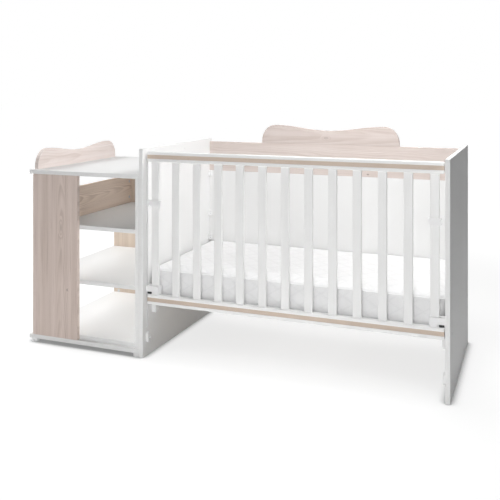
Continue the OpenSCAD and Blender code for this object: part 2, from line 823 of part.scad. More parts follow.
// A rail from z = 0 with the groove for its strip.
module grooved_rail()
    difference() {
        translate([x_in_l + rail_end_gap, y_front + rail_front, 0])
            board(inner_l - 2 * rail_end_gap, rail_t, rail_h, rail_ease);
        translate([x_in_l, y_front + rail_front - over, rail_h / 2 - strip_h / 2 - strip_gap])
            cube([inner_l, strip_groove_d + over, strip_h + 2 * strip_gap]);
    }

module strip()
    translate([x_in_l + rail_end_gap, y_front + rail_front + strip_groove_d - strip_t,
               rail_h / 2 - strip_h / 2])
        cube([inner_l - 2 * rail_end_gap, strip_t, strip_h]);

// A slat's section about the origin, grown by a gap.
module slat_section(gap = 0)
    polygon(round_rect(slat_w + 2 * gap, slat_t + 2 * gap, slat_r + gap, 5));

module slat(i) color(WHITE) difference() {
    translate([slat_x(i), y_front + yc, slat_z]) linear_extrude(slat_l) slat_section();
    if (i == 1) at_end(-1) housing_screw(fit_gap);
    if (i == slat_count) at_end(1) housing_screw(fit_gap);
}

module mortises(z)
    for (i = [1:slat_count]) translate([slat_x(i), y_front + yc, z])
        linear_extrude(tenon_l + over) slat_section(tenon_gap);

module drop_top_rail() color(WHITE) difference() {
    translate([0, 0, top_rail_z]) grooved_rail();
    mortises(top_rail_z - over);
}

module drop_bottom_rail() color(WHITE) difference() {
    translate([0, 0, bottom_rail_z]) grooved_rail();
    mortises(slat_z);
}

module top_rail_strip() color(BEIGE) translate([0, 0, top_rail_z]) strip();

module bottom_rail_strip() color(BEIGE) translate([0, 0, bottom_rail_z]) strip();

// ---- Guide clips ----

// A band round the end slat with a fork that widens towards the track and ends in a nose.
module guide_clip() {
    x0 = slat_end_gap - clip_side;
    x1 = slat_end_gap + slat_w + clip_side;
    fork_x = 1.8;
    waist_x = x0 - 4;
    mid = clip_z + clip_h / 2;
    difference() {
        span([x0, slat_front - clip_cheek, clip_z], [x1, slat_back + clip_cheek, clip_z + clip_h]);
        translate([slat_end_gap + slat_w / 2, yc, clip_z - over])
            linear_extrude(clip_h + 2 * over) slat_section(tenon_gap);
    }
    translate([0, yc + nose_w / 2, mid]) rotate([90, 0, 0]) linear_extrude(nose_w)
        polygon([
            [nose_x, -clip_h / 2], [fork_x, -clip_h / 2], [fork_x, -clip_fork_h / 2],
            [fork_x + 3, -clip_fork_h / 2], [waist_x, -clip_waist_h / 2], [x0 + over, -clip_waist_h / 2],
            [x0 + over, clip_waist_h / 2], [waist_x, clip_waist_h / 2], [fork_x + 3, clip_fork_h / 2],
            [fork_x, clip_fork_h / 2], [fork_x, clip_h / 2], [nose_x, clip_h / 2]
        ]);
}

module guide_clips() color(PLASTIC) for (side = [-1, 1]) at_end(side) guide_clip();

// ---- Latches ----

module housing_screw(gap = 0)
    translate([housing_screw_x, housing_screw_seat, housing_screw_z]) rotate([0, 0, 90])
        screw(housing_screw_l, gap);

// The housing stands on the bottom rail round the end slat and is screwed to the slat from behind.
// Its cavity opens downwards, the bolt's button shows in a slot in its front, and a nose runs in the
// track above the bolt.
module latch_housing() {
    z0 = bottom_rail_top;
    difference() {
        union() {
            translate([housing_end_gap, housing_front, z0])
                board(housing_x1 - housing_end_gap, housing_y1 - housing_front, housing_h, 1);
            span([nose_x, yc - nose_w / 2, guide_nose_z],
                 [housing_end_gap + housing_wall, yc + nose_w / 2, guide_nose_z + guide_nose_h]);
        }
        translate([slat_end_gap + slat_w / 2, yc, z0 - over])
            linear_extrude(housing_h + 2 * over) slat_section(latch_gap);
        span([housing_end_gap - over, yc - nose_w / 2 - latch_gap, z0 - over],
             [bolt_back + latch_travel + latch_gap, yc + nose_w / 2 + latch_gap, cavity_top]);
        span([housing_end_gap + housing_wall, housing_front + housing_wall, z0 - over],
             [plate_x + plate_l + latch_travel + latch_gap, slat_front - latch_gap, cavity_top]);
        span([housing_end_gap + housing_wall, slat_front - 2 * latch_gap, z0 - over],
             [bolt_back + latch_travel + latch_gap, tail_y, cavity_top]);
        span([housing_end_gap + housing_wall, tail_y - latch_gap, z0 - over],
             [spring_x1, tail_y + tail_w + latch_gap, cavity_top]);
        span([button_x - latch_travel - slot_margin, housing_front - over, button_z - latch_gap],
             [button_x + button_l + latch_travel + slot_margin, housing_front + 2 * housing_wall, cavity_top]);
        housing_screw(fit_gap);
        translate([housing_screw_x, housing_screw_seat, housing_screw_z]) rotate([-90, 0, 0])
            cylinder(h = housing_y1, d = screw_head_d + 2 * latch_gap);
    }
}

// The sliding bolt: nose, neck, face plate with its button, and a tail behind the slat.
module latch_bolt() {
    y0 = yc - nose_w / 2;
    y1 = yc + nose_w / 2;
    span([nose_x, y0, bolt_z], [bolt_back, y1, bolt_top]);
    span([plate_x, plate_y + plate_t - over, bolt_z], [bolt_back, y0 + over, bolt_top]);
    span([plate_x, plate_y, bolt_z], [plate_x + plate_l, plate_y + plate_t, bolt_top]);
    span([button_x, housing_front - button_proud, button_z],
         [button_x + button_l, plate_y + over, bolt_top]);
    span([tail_x, y1 - over, bolt_z], [bolt_back, tail_y + over, bolt_top]);
    span([tail_x, tail_y, bolt_z], [spring_x0, tail_y + tail_w, bolt_top]);
}

// A helix swept with a small ring of points, its ends closed.
module coil(r, wire_r, turns, length, steps = 14, sides = 6) {
    n = turns * steps;
    rise = length / n;
    points = [
        for (i = [0:n]) for (j = [0:sides - 1])
            let (a = 360 * i / steps, b = 360 * j / sides, q = r + wire_r * cos(b))
            [i * rise + wire_r * sin(b), q * cos(a), q * sin(a)]
    ];
    skin = [
        for (i = [0:n - 1]) for (j = [0:sides - 1])
            let (a = i * sides + j, b = i * sides + (j + 1) % sides)
            [a, a + sides, b + sides, b]
    ];
    first = [for (j = [0:sides - 1]) j];
    last = [for (j = [sides - 1:-1:0]) n * sides + j];
    polyhedron(points, concat(skin, [first], [last]));
}

module latch_spring()
    translate([spring_x0 + spring_wire / 2, tail_y + tail_w / 2, (bolt_z + bolt_top) / 2])
        coil((spring_d - spring_wire) / 2, spring_wire / 2, spring_turns, spring_l - spring_wire);

module latch_housing_left() color(PLASTIC) at_end(-1) latch_housing();

module latch_housing_right() color(PLASTIC) at_end(1) latch_housing();

module housing_screws() color(STEEL) for (side = [-1, 1]) at_end(side) housing_screw();

module latch_bolt_left() color(BLACK) at_end(-1) latch_bolt();

module latch_bolt_right() color(BLACK) at_end(1) latch_bolt();

module latch_spring_left() color(STEEL) at_end(-1) latch_spring();

module latch_spring_right() color(STEEL) at_end(1) latch_spring();

// ---- Mattress ----

module mattress() color(CLOTH)
    translate([x_cot, y_front + rail_back + mattress_side_gap + mattress_w / 2, base_z])
        linear_extrude(mattress_h) polygon(round_rect(mattress_l, mattress_w, mattress_r, 8));

// ---- Changing unit ----

module changer_top() color(WHITE) difference() {
    translate([x_ch_l, y_front, top_z]) board(changer_w, outer_d, board_t);
    cam_bolt_cuts(concat(front_up_cams, back_up_cams, side_cams));
    at_guard() dowel_cuts();
}

module changer_base_board() color(WHITE) difference() {
    translate([x_ch_l, y_front, foot_h]) board(changer_w, outer_d, board_t);
    cam_bolt_cuts(concat(front_up_cams, back_up_cams, side_cams));
}

module changer_deck() color(WHITE)
    translate([x_up_l, y_up_in, deck_z]) board(shelf_l, shelf_d, board_t);

module changer_side_panel() color(WHITE) difference() {
    translate([x_side, y_front, deck_z]) board(board_t, outer_d, top_z - deck_z);
    disc_cuts(side_cams);
    cam_bolt_cuts(concat(upper_shelf_cams, middle_shelf_cams));
    at_joins() {
        bore_x(-over, board_t + over, bolt_d + 2 * fit_gap);
        bore_x(-over, bolt_cup_h, bolt_cup_d);
    }
}

// An upright from the base board to the top.
module upright(y) translate([x_up_l, y, deck_z]) board(upright_w, board_t, top_z - deck_z);

module changer_front_upright() color(OAK) difference() {
    upright(y_front);
    disc_cuts(front_up_cams);
    cam_bolt_cuts(concat(upper_shelf_cams, middle_shelf_cams, gallery_cams));
}

module changer_back_upright() color(OAK) difference() {
    upright(y_up_back);
    disc_cuts(back_up_cams);
    cam_bolt_cuts(concat(upper_shelf_cams, middle_shelf_cams, gallery_cams));
}

module changer_gallery_rail() color(OAK) difference() {
    translate([x_gallery, y_up_in, gallery_z]) board(board_t, shelf_d, gallery_h);
    disc_cuts(gallery_cams);
}

module changer_upper_shelf() color(WHITE) difference() {
    translate([x_up_l, y_up_in, upper_shelf_z]) board(shelf_l, shelf_d, board_t);
    disc_cuts(upper_shelf_cams);
}

module changer_middle_shelf() color(WHITE) difference() {
    translate([x_up_l, y_up_in, middle_shelf_z]) board(shelf_l, shelf_d, board_t);
    disc_cuts(middle_shelf_cams);
}

module changer_feet() color(PLASTIC)
    for (x = [x_ch_l + foot_end_inset, x_ch_r - end_foot_inset])
        for (y = [y_front + foot_inset, y_back - foot_inset])
            translate([x, y, 0]) rotate_extrude()
                polygon([[0, 0], [foot_d / 2 - 1.5, 0], [foot_d / 2, 1.5], [foot_d / 2, foot_h], [0, foot_h]]);

// Places children where the changing unit is bolted to the cot: x from the side panel's inner face.
module at_joins()
    for (y = join_ys, z = join_zs) translate([x_side, y_front + y, z]) children();

module joining_bolts() color(STEEL)
    at_joins() translate([sunk + 0.5, 0, 0])
        machine_bolt(board_t - sunk - 0.5 + join_gap + join_tip);

// ---- Nodes ----

end_panel_left();
end_panel_right();
back_top_board();
back_panel();
headboard_crest();
dowels();
cam_discs();
cam_bolts();
corner_blocks();
base_end_rails();
base_side_rail_front();
base_side_rail_back();
base_slats();
base_brackets();
base_bolts();
base_insert_nuts();
bolt_hole_caps();
guide_track_left();
guide_track_right();
panel_screws();
drop_stops();
drop_top_rail();
drop_bottom_rail();
top_rail_strip();
bottom_rail_strip();
for (i = [1:slat_count])
    slat(i);
guide_clips();
latch_housing_left();
latch_housing_right();
housing_screws();
latch_bolt_left();
latch_bolt_right();
latch_spring_left();
latch_spring_right();
mattress();
changer_top();
changer_base_board();
changer_deck();
changer_side_panel();
changer_front_upright();
changer_back_upright();
changer_gallery_rail();
changer_upper_shelf();
changer_middle_shelf();
changer_guard();
changer_feet();
joining_bolts();
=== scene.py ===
"""A cot with a drop side and an attached changing unit, dressed over its packed construction."""
import logging
import math
from dataclasses import dataclass, field
from enum import Enum
from typing import Any, Mapping, Sequence

import bmesh
import bpy
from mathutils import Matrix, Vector, noise


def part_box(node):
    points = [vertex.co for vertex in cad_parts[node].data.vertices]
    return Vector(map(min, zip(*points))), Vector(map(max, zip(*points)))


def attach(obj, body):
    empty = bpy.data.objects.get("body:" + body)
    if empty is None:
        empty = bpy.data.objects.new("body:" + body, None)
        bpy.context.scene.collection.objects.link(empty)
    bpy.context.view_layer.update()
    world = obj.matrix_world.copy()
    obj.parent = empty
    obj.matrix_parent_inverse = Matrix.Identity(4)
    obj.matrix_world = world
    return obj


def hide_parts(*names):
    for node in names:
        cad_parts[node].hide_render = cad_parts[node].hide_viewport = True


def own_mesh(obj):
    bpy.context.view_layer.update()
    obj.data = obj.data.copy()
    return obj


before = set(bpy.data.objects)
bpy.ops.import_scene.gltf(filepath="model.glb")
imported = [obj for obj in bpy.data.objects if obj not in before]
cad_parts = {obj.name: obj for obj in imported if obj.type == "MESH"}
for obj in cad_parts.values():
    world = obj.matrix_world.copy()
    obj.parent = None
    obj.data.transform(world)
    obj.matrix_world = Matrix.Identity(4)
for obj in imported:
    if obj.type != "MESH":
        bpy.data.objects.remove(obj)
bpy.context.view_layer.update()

MM = 0.001
MERGE = 0.001 * MM
BAND_T = 1.0 * MM
BAND_JOINT_W = 0.25 * MM
QUILT = "quilt"
WHITE = (1.0, 1.0, 1.0, 1.0)

Colour = tuple[float, float, float]
Socket = bpy.types.NodeSocket
Box = tuple[Vector, Vector]

log = logging.getLogger("cot")


# ---------------------------------------------------------------- choices

class Body(Enum):
    """The moving bodies that new pieces ride on."""

    DROP_SIDE = "drop_side"
    MATTRESS = "mattress"


class Axis(Enum):
    """A direction along the cot, across it or up."""

    X = 0
    Y = 1
    Z = 2


class Slot(Enum):
    """The record's material slots that new pieces take."""

    COVER = "mattress_cover"
    STEEL = "zinc_steel"


# ---------------------------------------------------------------- shader maths

class Value:
    """A shader value. Python's operators on it add Math nodes to its tree."""

    def __init__(self, bench: "Bench", socket: Socket) -> None:
        """Wraps a number socket of the bench's tree."""
        self.bench = bench
        self.socket = socket

    def __add__(self, other: Any) -> "Value":
        """This value plus another."""
        return self.bench.math("ADD", self, other)

    def __radd__(self, other: Any) -> "Value":
        """Another value plus this one."""
        return self.bench.math("ADD", other, self)

    def __sub__(self, other: Any) -> "Value":
        """This value less another."""
        return self.bench.math("SUBTRACT", self, other)

    def __rsub__(self, other: Any) -> "Value":
        """Another value less this one."""
        return self.bench.math("SUBTRACT", other, self)

    def __mul__(self, other: Any) -> "Value":
        """This value times another."""
        return self.bench.math("MULTIPLY", self, other)

    def __rmul__(self, other: Any) -> "Value":
        """Another value times this one."""
        return self.bench.math("MULTIPLY", other, self)

    def __truediv__(self, other: Any) -> "Value":
        """This value over another."""
        return self.bench.math("DIVIDE", self, other)

    def fract(self) -> "Value":
        """The part after the decimal point."""
        return self.bench.math("FRACT", self)

    def distance(self) -> "Value":
        """The value without its sign."""
        return self.bench.math("ABSOLUTE", self)

    def root(self) -> "Value":
        """The square root."""
        return self.bench.math("SQRT", self)

    def least(self, other: Any) -> "Value":
        """The smaller of two values."""
        return self.bench.math("MINIMUM", self, other)

    def most(self, other: Any) -> "Value":
        """The larger of two values."""
        return self.bench.math("MAXIMUM", self, other)

    def step(self, low: float, high: float) -> "Value":
        """A smooth step.

        Args:
            low: the value at which the step starts.
            high: the value at which it ends, which may be the lower of the two.

        Returns:
            0 at low, 1 at high and smooth between them.
        """
        node = self.bench.add(
            "ShaderNodeMapRange",
            {"interpolation_type": "SMOOTHSTEP", "clamp": True},
            {"Value": self, "From Min": low, "From Max": high, "To Min": 0.0, "To Max": 1.0},
        )
        return Value(self.bench, node.outputs["Result"])


class Bench:
    """The node tree of one material or world, and the one way in which nodes join it."""

    def __init__(self, owner: bpy.types.Material | bpy.types.World) -> None:
        """Empties the owner's tree.

        Args:
            owner: the material or world.
        """
        self.owner = owner
        owner.use_nodes = True
        self.tree = owner.node_tree
        self.tree.nodes.clear()

    @classmethod
    def material(cls, name: str) -> "Bench":
        """The tree of a new material."""
        return cls(bpy.data.materials.new(name))

    def add(self, kind: str, settings: Mapping[str, Any] | None = None,
            inputs: Mapping[Any, Any] | None = None) -> bpy.types.Node:
        """Adds a node.

        Args:
            kind: the node's type.
            settings: its properties, set before its sockets.
            inputs: a value or a link for each socket, by name or by number.

        Returns:
            The new node.
        """
        node = self.tree.nodes.new(kind)
        for name, value in (settings or {}).items():
            setattr(node, name, value)
        for key, value in (inputs or {}).items():
            if isinstance(value, Value):
                value = value.socket
            if isinstance(value, Socket):
                self.tree.links.new(value, node.inputs[key])
            else:
                node.inputs[key].default_value = value
        return node

    def math(self, operation: str, *operands: Any) -> Value:
        """A Math node on the operands, as a value."""
        node = self.add("ShaderNodeMath", {"operation": operation}, dict(enumerate(operands)))
        return Value(self, node.outputs[0])

    def place(self) -> Socket:
        """The point on the piece, in metres."""
        return self.add("ShaderNodeTexCoord").outputs["Object"]

    def split(self, vector: Socket) -> tuple[Value, Value, Value]:
        """The three parts of a vector."""
        node = self.add("ShaderNodeSeparateXYZ", None, {0: vector})
        return tuple(Value(self, out) for out in node.outputs)

    def join(self, x: Any, y: Any, z: Any) -> Socket:
        """A vector from three parts."""
        return self.add("ShaderNodeCombineXYZ", None, {0: x, 1: y, 2: z}).outputs[0]

    def stretched(self, vector: Socket, scale: Sequence[float]) -> Socket:
        """A vector multiplied part by part."""
        operands = {0: vector, 1: tuple(scale)}
        return self.add("ShaderNodeVectorMath", {"operation": "MULTIPLY"}, operands).outputs[0]

    def noise(self, vector: Socket, scale: float = 1.0, detail: float = 2.0,
              roughness: float = 0.5, distortion: float = 0.0) -> Value:
        """Cloudy noise.

        Args:
            vector: the point to read.
            scale: cells in each metre.
            detail: how many finer layers are added.
            roughness: how strong the finer layers are.
            distortion: how much the clouds swirl.

        Returns:
            A value about 0.5, between 0 and 1.
        """
        node = self.add(
            "ShaderNodeTexNoise", {"noise_dimensions": "3D"},
            {"Vector": vector, "Scale": scale, "Detail": detail, "Roughness": roughness,
             "Distortion": distortion},
        )
        return Value(self, node.outputs[0])

    def mix(self, factor: Any, first: Any, second: Any, blend: str = "MIX") -> Socket:
        """A mix of two colours.

        Args:
            factor: how much of the second colour is used.
            first: a colour or a colour socket.
            second: a colour or a colour socket.
            blend: the way of mixing.

        Returns:
            The mixed colour's socket.
        """
        inputs = {0: factor, 6: self._colour(first), 7: self._colour(second)}
        node = self.add("ShaderNodeMix", {"data_type": "RGBA", "blend_type": blend}, inputs)
        return node.outputs[2]

    @staticmethod
    def _colour(value: Any) -> Any:
        """A colour with its fourth number, or the socket itself."""
        return (*value, 1.0) if isinstance(value, tuple) else value

    def unlit_rays(self) -> Value:
        """Tells what is seen from the light itself.

        Returns:
            1 for what the camera, a mirror or a clear piece sees, and 0 for the rest.
        """
        rays = self.add("ShaderNodeLightPath").outputs
        seen = Value(self, rays["Is Camera Ray"]).most(Value(self, rays["Is Glossy Ray"]))
        return seen.most(Value(self, rays["Is Transmission Ray"]))

    def nook(self, reach: float) -> Value:
        """How much of the sky within a distance in metres is shut off, from 0 to 1."""
        node = self.add("ShaderNodeAmbientOcclusion", {"samples": 16}, {"Distance": reach})
        return 1.0 - Value(self, node.outputs["AO"])

    def bump(self, height: Value, depth: float, strength: float = 1.0,
             after: Socket | None = None) -> Socket:
        """A bump.

        Args:
            height: the relief, from 0 to 1.
            depth: the relief's real depth in metres.
            strength: how much of it shows.
            after: the bump that this one adds to.

        Returns:
            The normal's socket.
        """
        inputs = {"Height": height, "Distance": depth, "Strength": strength}
        if after is not None:
            inputs["Normal"] = after
        return self.add("ShaderNodeBump", None, inputs).outputs[0]

    def finish(self, tone: Socket, roughness: Value, relief: Socket,
               constant: Mapping[str, float]) -> None:
        """Closes the tree with a surface shader.

        Args:
            tone: the colour over the surface.
            roughness: the roughness over the surface.
            relief: the normal over the surface.
            constant: numbers that are the same all over, by socket.
        """
        varying = {"Base Color": tone, "Roughness": roughness, "Normal": relief}
        shader = self.add("ShaderNodeBsdfPrincipled", None, {**constant, **varying})
        self.add("ShaderNodeOutputMaterial", None, {"Surface": shader.outputs[0]})


# ---------------------------------------------------------------- finishes

@dataclass(frozen=True)
class Finish:
    """What every finish has: a name, and a way to make its material for one piece."""

    name: str

    def material(self, label: str, box: Box) -> bpy.types.Material:
        """The finish's material for one piece.

        Args:
            label: the piece's name.
            box: the piece's lowest and highest corners.

        Returns:
            The material.
        """
        bench = Bench.material(f"{self.name}_{label}")
        self.paint(bench, bench.place(), box)
        return bench.owner

    def paint(self, bench: Bench, place: Socket, box: Box) -> None:
        """Lays the finish's nodes and closes the tree.

        Args:
            bench: the material's tree.
            place: the point on the piece.
            box: the piece's lowest and highest corners.
        """
        raise NotImplementedError

    def dress(self, piece: bpy.types.Object, box: Box) -> None:
        """Puts the finish on a piece, in the place of what it has.

        Args:
            piece: the piece.
            box: its lowest and highest corners.
        """
        made = self.material(piece.name, box)
        piece.data.materials.clear()
        piece.data.materials.append(made)


def darkened(colour: Colour, share: float) -> Colour:
    """The colour with each of its parts times the share."""
    return tuple(part * share for part in colour)


def edge_gap(parts: Sequence[Value], box: Box) -> Value:
    """How far a point of a board lies from the board's nearest long edge.

    Args:
        parts: the point's x, y and z.
        box: the board's lowest and highest corners.

    Returns:
        The distance in metres, measured in the plane of the board's broad faces.
    """
    spans = [box[1][i] - box[0][i] for i in range(3)]
    thin = spans.index(min(spans))
    gaps = []
    for i in range(3):
        if i != thin:
            middle, half = (box[0][i] + box[1][i]) / 2, spans[i] / 2
            gaps.append(half - (parts[i] - middle).distance())
    return gaps[0].least(gaps[1])


def joint_line(gap: Value) -> Value:
    """The joint of a glued edge band, from the gap to the edge: 1 on it and 0 away from it."""
    return 1.0 - (gap - BAND_T).distance().step(0.0, BAND_JOINT_W)


@dataclass(frozen=True)
class WhiteBoard(Finish):
    """White foil-faced board with a pearl grain and a glued edge band."""

    colour: Colour = (0.840, 0.840, 0.836)
    band_joint: Colour = (0.60, 0.60, 0.595)
    handled: Colour = (0.800, 0.797, 0.788)
    handled_w: float = 5.0 * MM
    pearl: float = 850.0
    pearl_d: float = 0.06 * MM
    groove_d: float = 0.08 * MM
    roughness: float = 0.48
    shine: float = 0.25

    def paint(self, bench: Bench, place: Socket, box: Box) -> None:
        """A pearl grain, with the edge band's joint just inside the edges.

        Args:
            bench: the material's tree.
            place: the point on the piece.
            box: the piece's lowest and highest corners.
        """
        gap = edge_gap(bench.split(place), box)
        joint = joint_line(gap)
        cloud = bench.noise(place, 5.0, 3.0)
        rub = (1.0 - gap.step(0.0, self.handled_w)) * bench.noise(place, 38.0, 3.0).step(0.52, 0.75)
        tone = bench.mix(cloud * 0.20, self.colour, darkened(self.colour, 0.97))
        tone = bench.mix(rub * 0.5, tone, self.handled)
        tone = bench.mix(joint * 0.45, tone, self.band_joint)
        pearl = bench.noise(place, self.pearl, 2.0, 0.6)
        smudge = bench.noise(place, 11.0, 4.0, 0.6)
        roughness = self.roughness + (smudge - 0.5) * 0.10 + (pearl - 0.5) * 0.05
        relief = bench.bump(pearl, self.pearl_d, 0.35)
        groove = bench.bump(1.0 - joint, self.groove_d, 0.5, relief)
        bench.finish(tone, roughness, groove, {"Specular IOR Level": self.shine})


@dataclass(frozen=True)
class WhiteLacquer(Finish):
    """White sprayed lacquer on wood, with the grain just showing through."""

    grain: Axis = Axis.Z
    colour: Colour = (0.855, 0.855, 0.850)
    hollow: Colour = (0.815, 0.814, 0.808)
    grain_d: float = 0.05 * MM
    peel_d: float = 0.04 * MM
    roughness: float = 0.36
    shine: float = 0.45

    def paint(self, bench: Bench, place: Socket, box: Box) -> None:
        """Smooth lacquer, with a faint grain along the piece.

        Args:
            bench: the material's tree.
            place: the point on the piece.
            box: the piece's lowest and highest corners.
        """
        stretch = [260.0, 260.0, 260.0]
        stretch[self.grain.value] = 9.0
        grain = bench.noise(bench.stretched(place, stretch), 1.0, 3.0, 0.55)
        peel = bench.noise(place, 420.0, 2.0)
        low = grain.step(0.50, 0.30)
        tone = bench.mix(low * 0.35, self.colour, self.hollow)
        roughness = self.roughness + (peel - 0.5) * 0.12 + low * 0.05
        relief = bench.bump(grain, self.grain_d, 0.35)
        relief = bench.bump(peel, self.peel_d, 0.35, relief)
        bench.finish(tone, roughness, relief, {"Specular IOR Level": self.shine})


@dataclass(frozen=True)
class Figure:
    """A closed oval in the grain, or a knot where it is dark."""

    along: float
    across: float
    length: float
    width: float
    lift: float = 1.0
    dark: float = 0.0


@dataclass(frozen=True)
class OakTone:
    """The three colours of an oak foil."""

    pale: Colour
    middle: Colour
    dark: Colour


@dataclass(frozen=True)
class OakFoil(Finish):
    """Printed oak foil: fibres, growth lines that arch over the heart, pores, ovals and knots."""

    tone: OakTone
    grain: Axis
    across: Axis
    heart: float
    figures: tuple[Figure, ...] = ()
    arches: float = 5.0
    spread: float = 900.0
    wander: float = 0.018
    line: float = 0.38
    streak: float = 0.30
    seed: float = 0.0
    fibre_d: float = 0.08 * MM
    pore_d: float = 0.10 * MM
    roughness: float = 0.52
    shine: float = 0.38

    def paint(self, bench: Bench, place: Socket, box: Box) -> None:
        """Growth lines and fibres along the board, with its ovals and knots.

        Args:
            bench: the material's tree.
            place: the point on the piece.
            box: the piece's lowest and highest corners.
        """
        parts = bench.split(place)
        along = parts[self.grain.value]
        side = parts[self.across.value] - self.heart
        depth = parts[3 - self.grain.value - self.across.value]
        slow = bench.noise(bench.join(along * 2.2, side * 9.0, self.seed), 1.0, 3.0, 0.55)
        quick = bench.noise(bench.join(along * 14.0, side * 40.0, self.seed + 3.0), 1.0, 2.0)
        bent = side + (slow - 0.5) * self.wander * 2 + (quick - 0.5) * self.wander * 0.22
        rings = along * self.arches + bent * bent * self.spread + (slow - 0.5) * 3.0
        stain = None
        for spot in self.figures:
            reach_u = (along - spot.along) / spot.length
            reach_v = (side - (spot.across - self.heart)) / spot.width
            reach = (reach_u * reach_u + reach_v * reach_v).root()
            rings = rings + reach.step(1.6, 0.0) * spot.lift
            if spot.dark:
                core = reach.step(0.85, 0.15) * spot.dark
                stain = core if stain is None else stain.most(core)
        ring = rings.fract()
        late = ring.step(0.20, 0.82) * ring.step(1.0, 0.84)
        fade = bench.noise(bench.join(along * 1.3, side * 22.0, self.seed + 7.0), 1.0, 2.0)
        line = late * self.line * fade.step(0.30, 0.62)
        fibre = bench.noise(bench.join(along * 5.0, side * 330.0, depth * 330.0), 1.0, 4.0, 0.6)
        band = bench.noise(bench.join(along * 0.7, side * 38.0, self.seed + 11.0), 1.0, 2.0, 0.5)
        stripe = bench.join(along * 3.4, side * 120.0, depth * 60.0 + self.seed)
        streaks = bench.noise(stripe, 1.0, 3.0, 0.6)
        pores = bench.noise(bench.join(along * 34.0, side * 1500.0, depth * 1500.0), 1.0, 1.0)
        pore = pores.step(0.60, 0.70)
        shade = band.step(0.28, 0.72) * 0.75 + (fibre - 0.5) * 0.8
        tone = bench.mix(shade, self.tone.pale, self.tone.middle)
        tone = bench.mix(line, tone, self.tone.dark)
        tone = bench.mix(streaks.step(0.52, 0.74) * self.streak, tone, self.tone.dark)
        tone = bench.mix(pore * 0.16, tone, self.tone.dark)
        if stain is not None:
            tone = bench.mix(stain, tone, darkened(self.tone.dark, 0.45))
        tone = bench.mix(joint_line(edge_gap(parts, box)) * 0.35, tone, self.tone.dark)
        roughness = self.roughness + (fibre - 0.5) * 0.12 + pore * 0.10
        relief = bench.bump(fibre, self.fibre_d, 0.30)
        relief = bench.bump(1.0 - pore, self.pore_d, 0.35, relief)
        bench.finish(tone, roughness, relief, {"Specular IOR Level": self.shine})


@dataclass(frozen=True)
class PlainWood(Finish):
    """Close-grained wood or strip: fine fibres along it and small flecks."""

    grain: Axis
    pale: Colour
    dark: Colour
    fleck: Colour
    fleck_share: float = 0.25
    fibre_d: float = 0.08 * MM
    roughness: float = 0.55
    shine: float = 0.38

    def paint(self, bench: Bench, place: Socket, box: Box) -> None:
        """Bands, fibres and flecks along the piece.

        Args:
            bench: the material's tree.
            place: the point on the piece.
            box: the piece's lowest and highest corners.
        """
        slow, fast, dash = [26.0] * 3, [420.0] * 3, [700.0] * 3
        slow[self.grain.value], fast[self.grain.value], dash[self.grain.value] = 1.6, 7.0, 90.0
        band = bench.noise(bench.stretched(place, slow), 1.0, 3.0, 0.5)
        fibre = bench.noise(bench.stretched(place, fast), 1.0, 3.0, 0.6)
        flecks = bench.noise(bench.stretched(place, dash), 1.0, 1.0).step(0.62, 0.72)
        tone = bench.mix(band.step(0.3, 0.7) * 0.6 + (fibre - 0.5) * 0.7, self.pale, self.dark)
        tone = bench.mix(flecks * self.fleck_share, tone, self.fleck)
        roughness = self.roughness + (fibre - 0.5) * 0.14
        relief = bench.bump(fibre, self.fibre_d, 0.35)
        bench.finish(tone, roughness, relief, {"Specular IOR Level": self.shine})


@dataclass(frozen=True)
class MouldedPlastic(Finish):
    """Moulded plastic with a fine spark texture."""

    colour: Colour
    scuffed: Colour
    roughness: float = 0.44
    spark: float = 1400.0
    spark_d: float = 0.05 * MM
    shine: float = 0.48

    def paint(self, bench: Bench, place: Socket, box: Box) -> None:
        """A spark texture, a little scuffed in patches.

        Args:
            bench: the material's tree.
            place: the point on the piece.
            box: the piece's lowest and highest corners.
        """
        spark = bench.noise(place, self.spark, 2.0, 0.6)
        patch = bench.noise(place, 60.0, 4.0, 0.6).step(0.55, 0.80)
        scratches = bench.noise(bench.stretched(place, (900.0, 900.0, 40.0)), 1.0, 1.0)
        scratch = scratches.step(0.66, 0.74)
        tone = bench.mix(patch * 0.30 + scratch * 0.15, self.colour, self.scuffed)
        roughness = self.roughness + patch * 0.08 + (spark - 0.5) * 0.10
        relief = bench.bump(spark, self.spark_d, 0.30)
        bench.finish(tone, roughness, relief, {"Specular IOR Level": self.shine})


@dataclass(frozen=True)
class ZincSteel(Finish):
    """Bright zinc-plated steel with faint spangle and turning marks."""

    colour: Colour = (0.66, 0.67, 0.69)
    dull: Colour = (0.48, 0.49, 0.51)
    spangle_d: float = 0.04 * MM
    roughness: float = 0.30

    def paint(self, bench: Bench, place: Socket, box: Box) -> None:
        """Bright plating, duller in patches.

        Args:
            bench: the material's tree.
            place: the point on the piece.
            box: the piece's lowest and highest corners.
        """
        spangle = bench.noise(place, 650.0, 3.0, 0.6)
        dull = bench.noise(place, 170.0, 3.0).step(0.50, 0.75)
        tone = bench.mix(dull * 0.6, self.colour, self.dull)
        roughness = self.roughness + dull * 0.18 + (spangle - 0.5) * 0.12
        relief = bench.bump(spangle, self.spangle_d, 0.3)
        bench.finish(tone, roughness, relief, {"Metallic": 1.0})


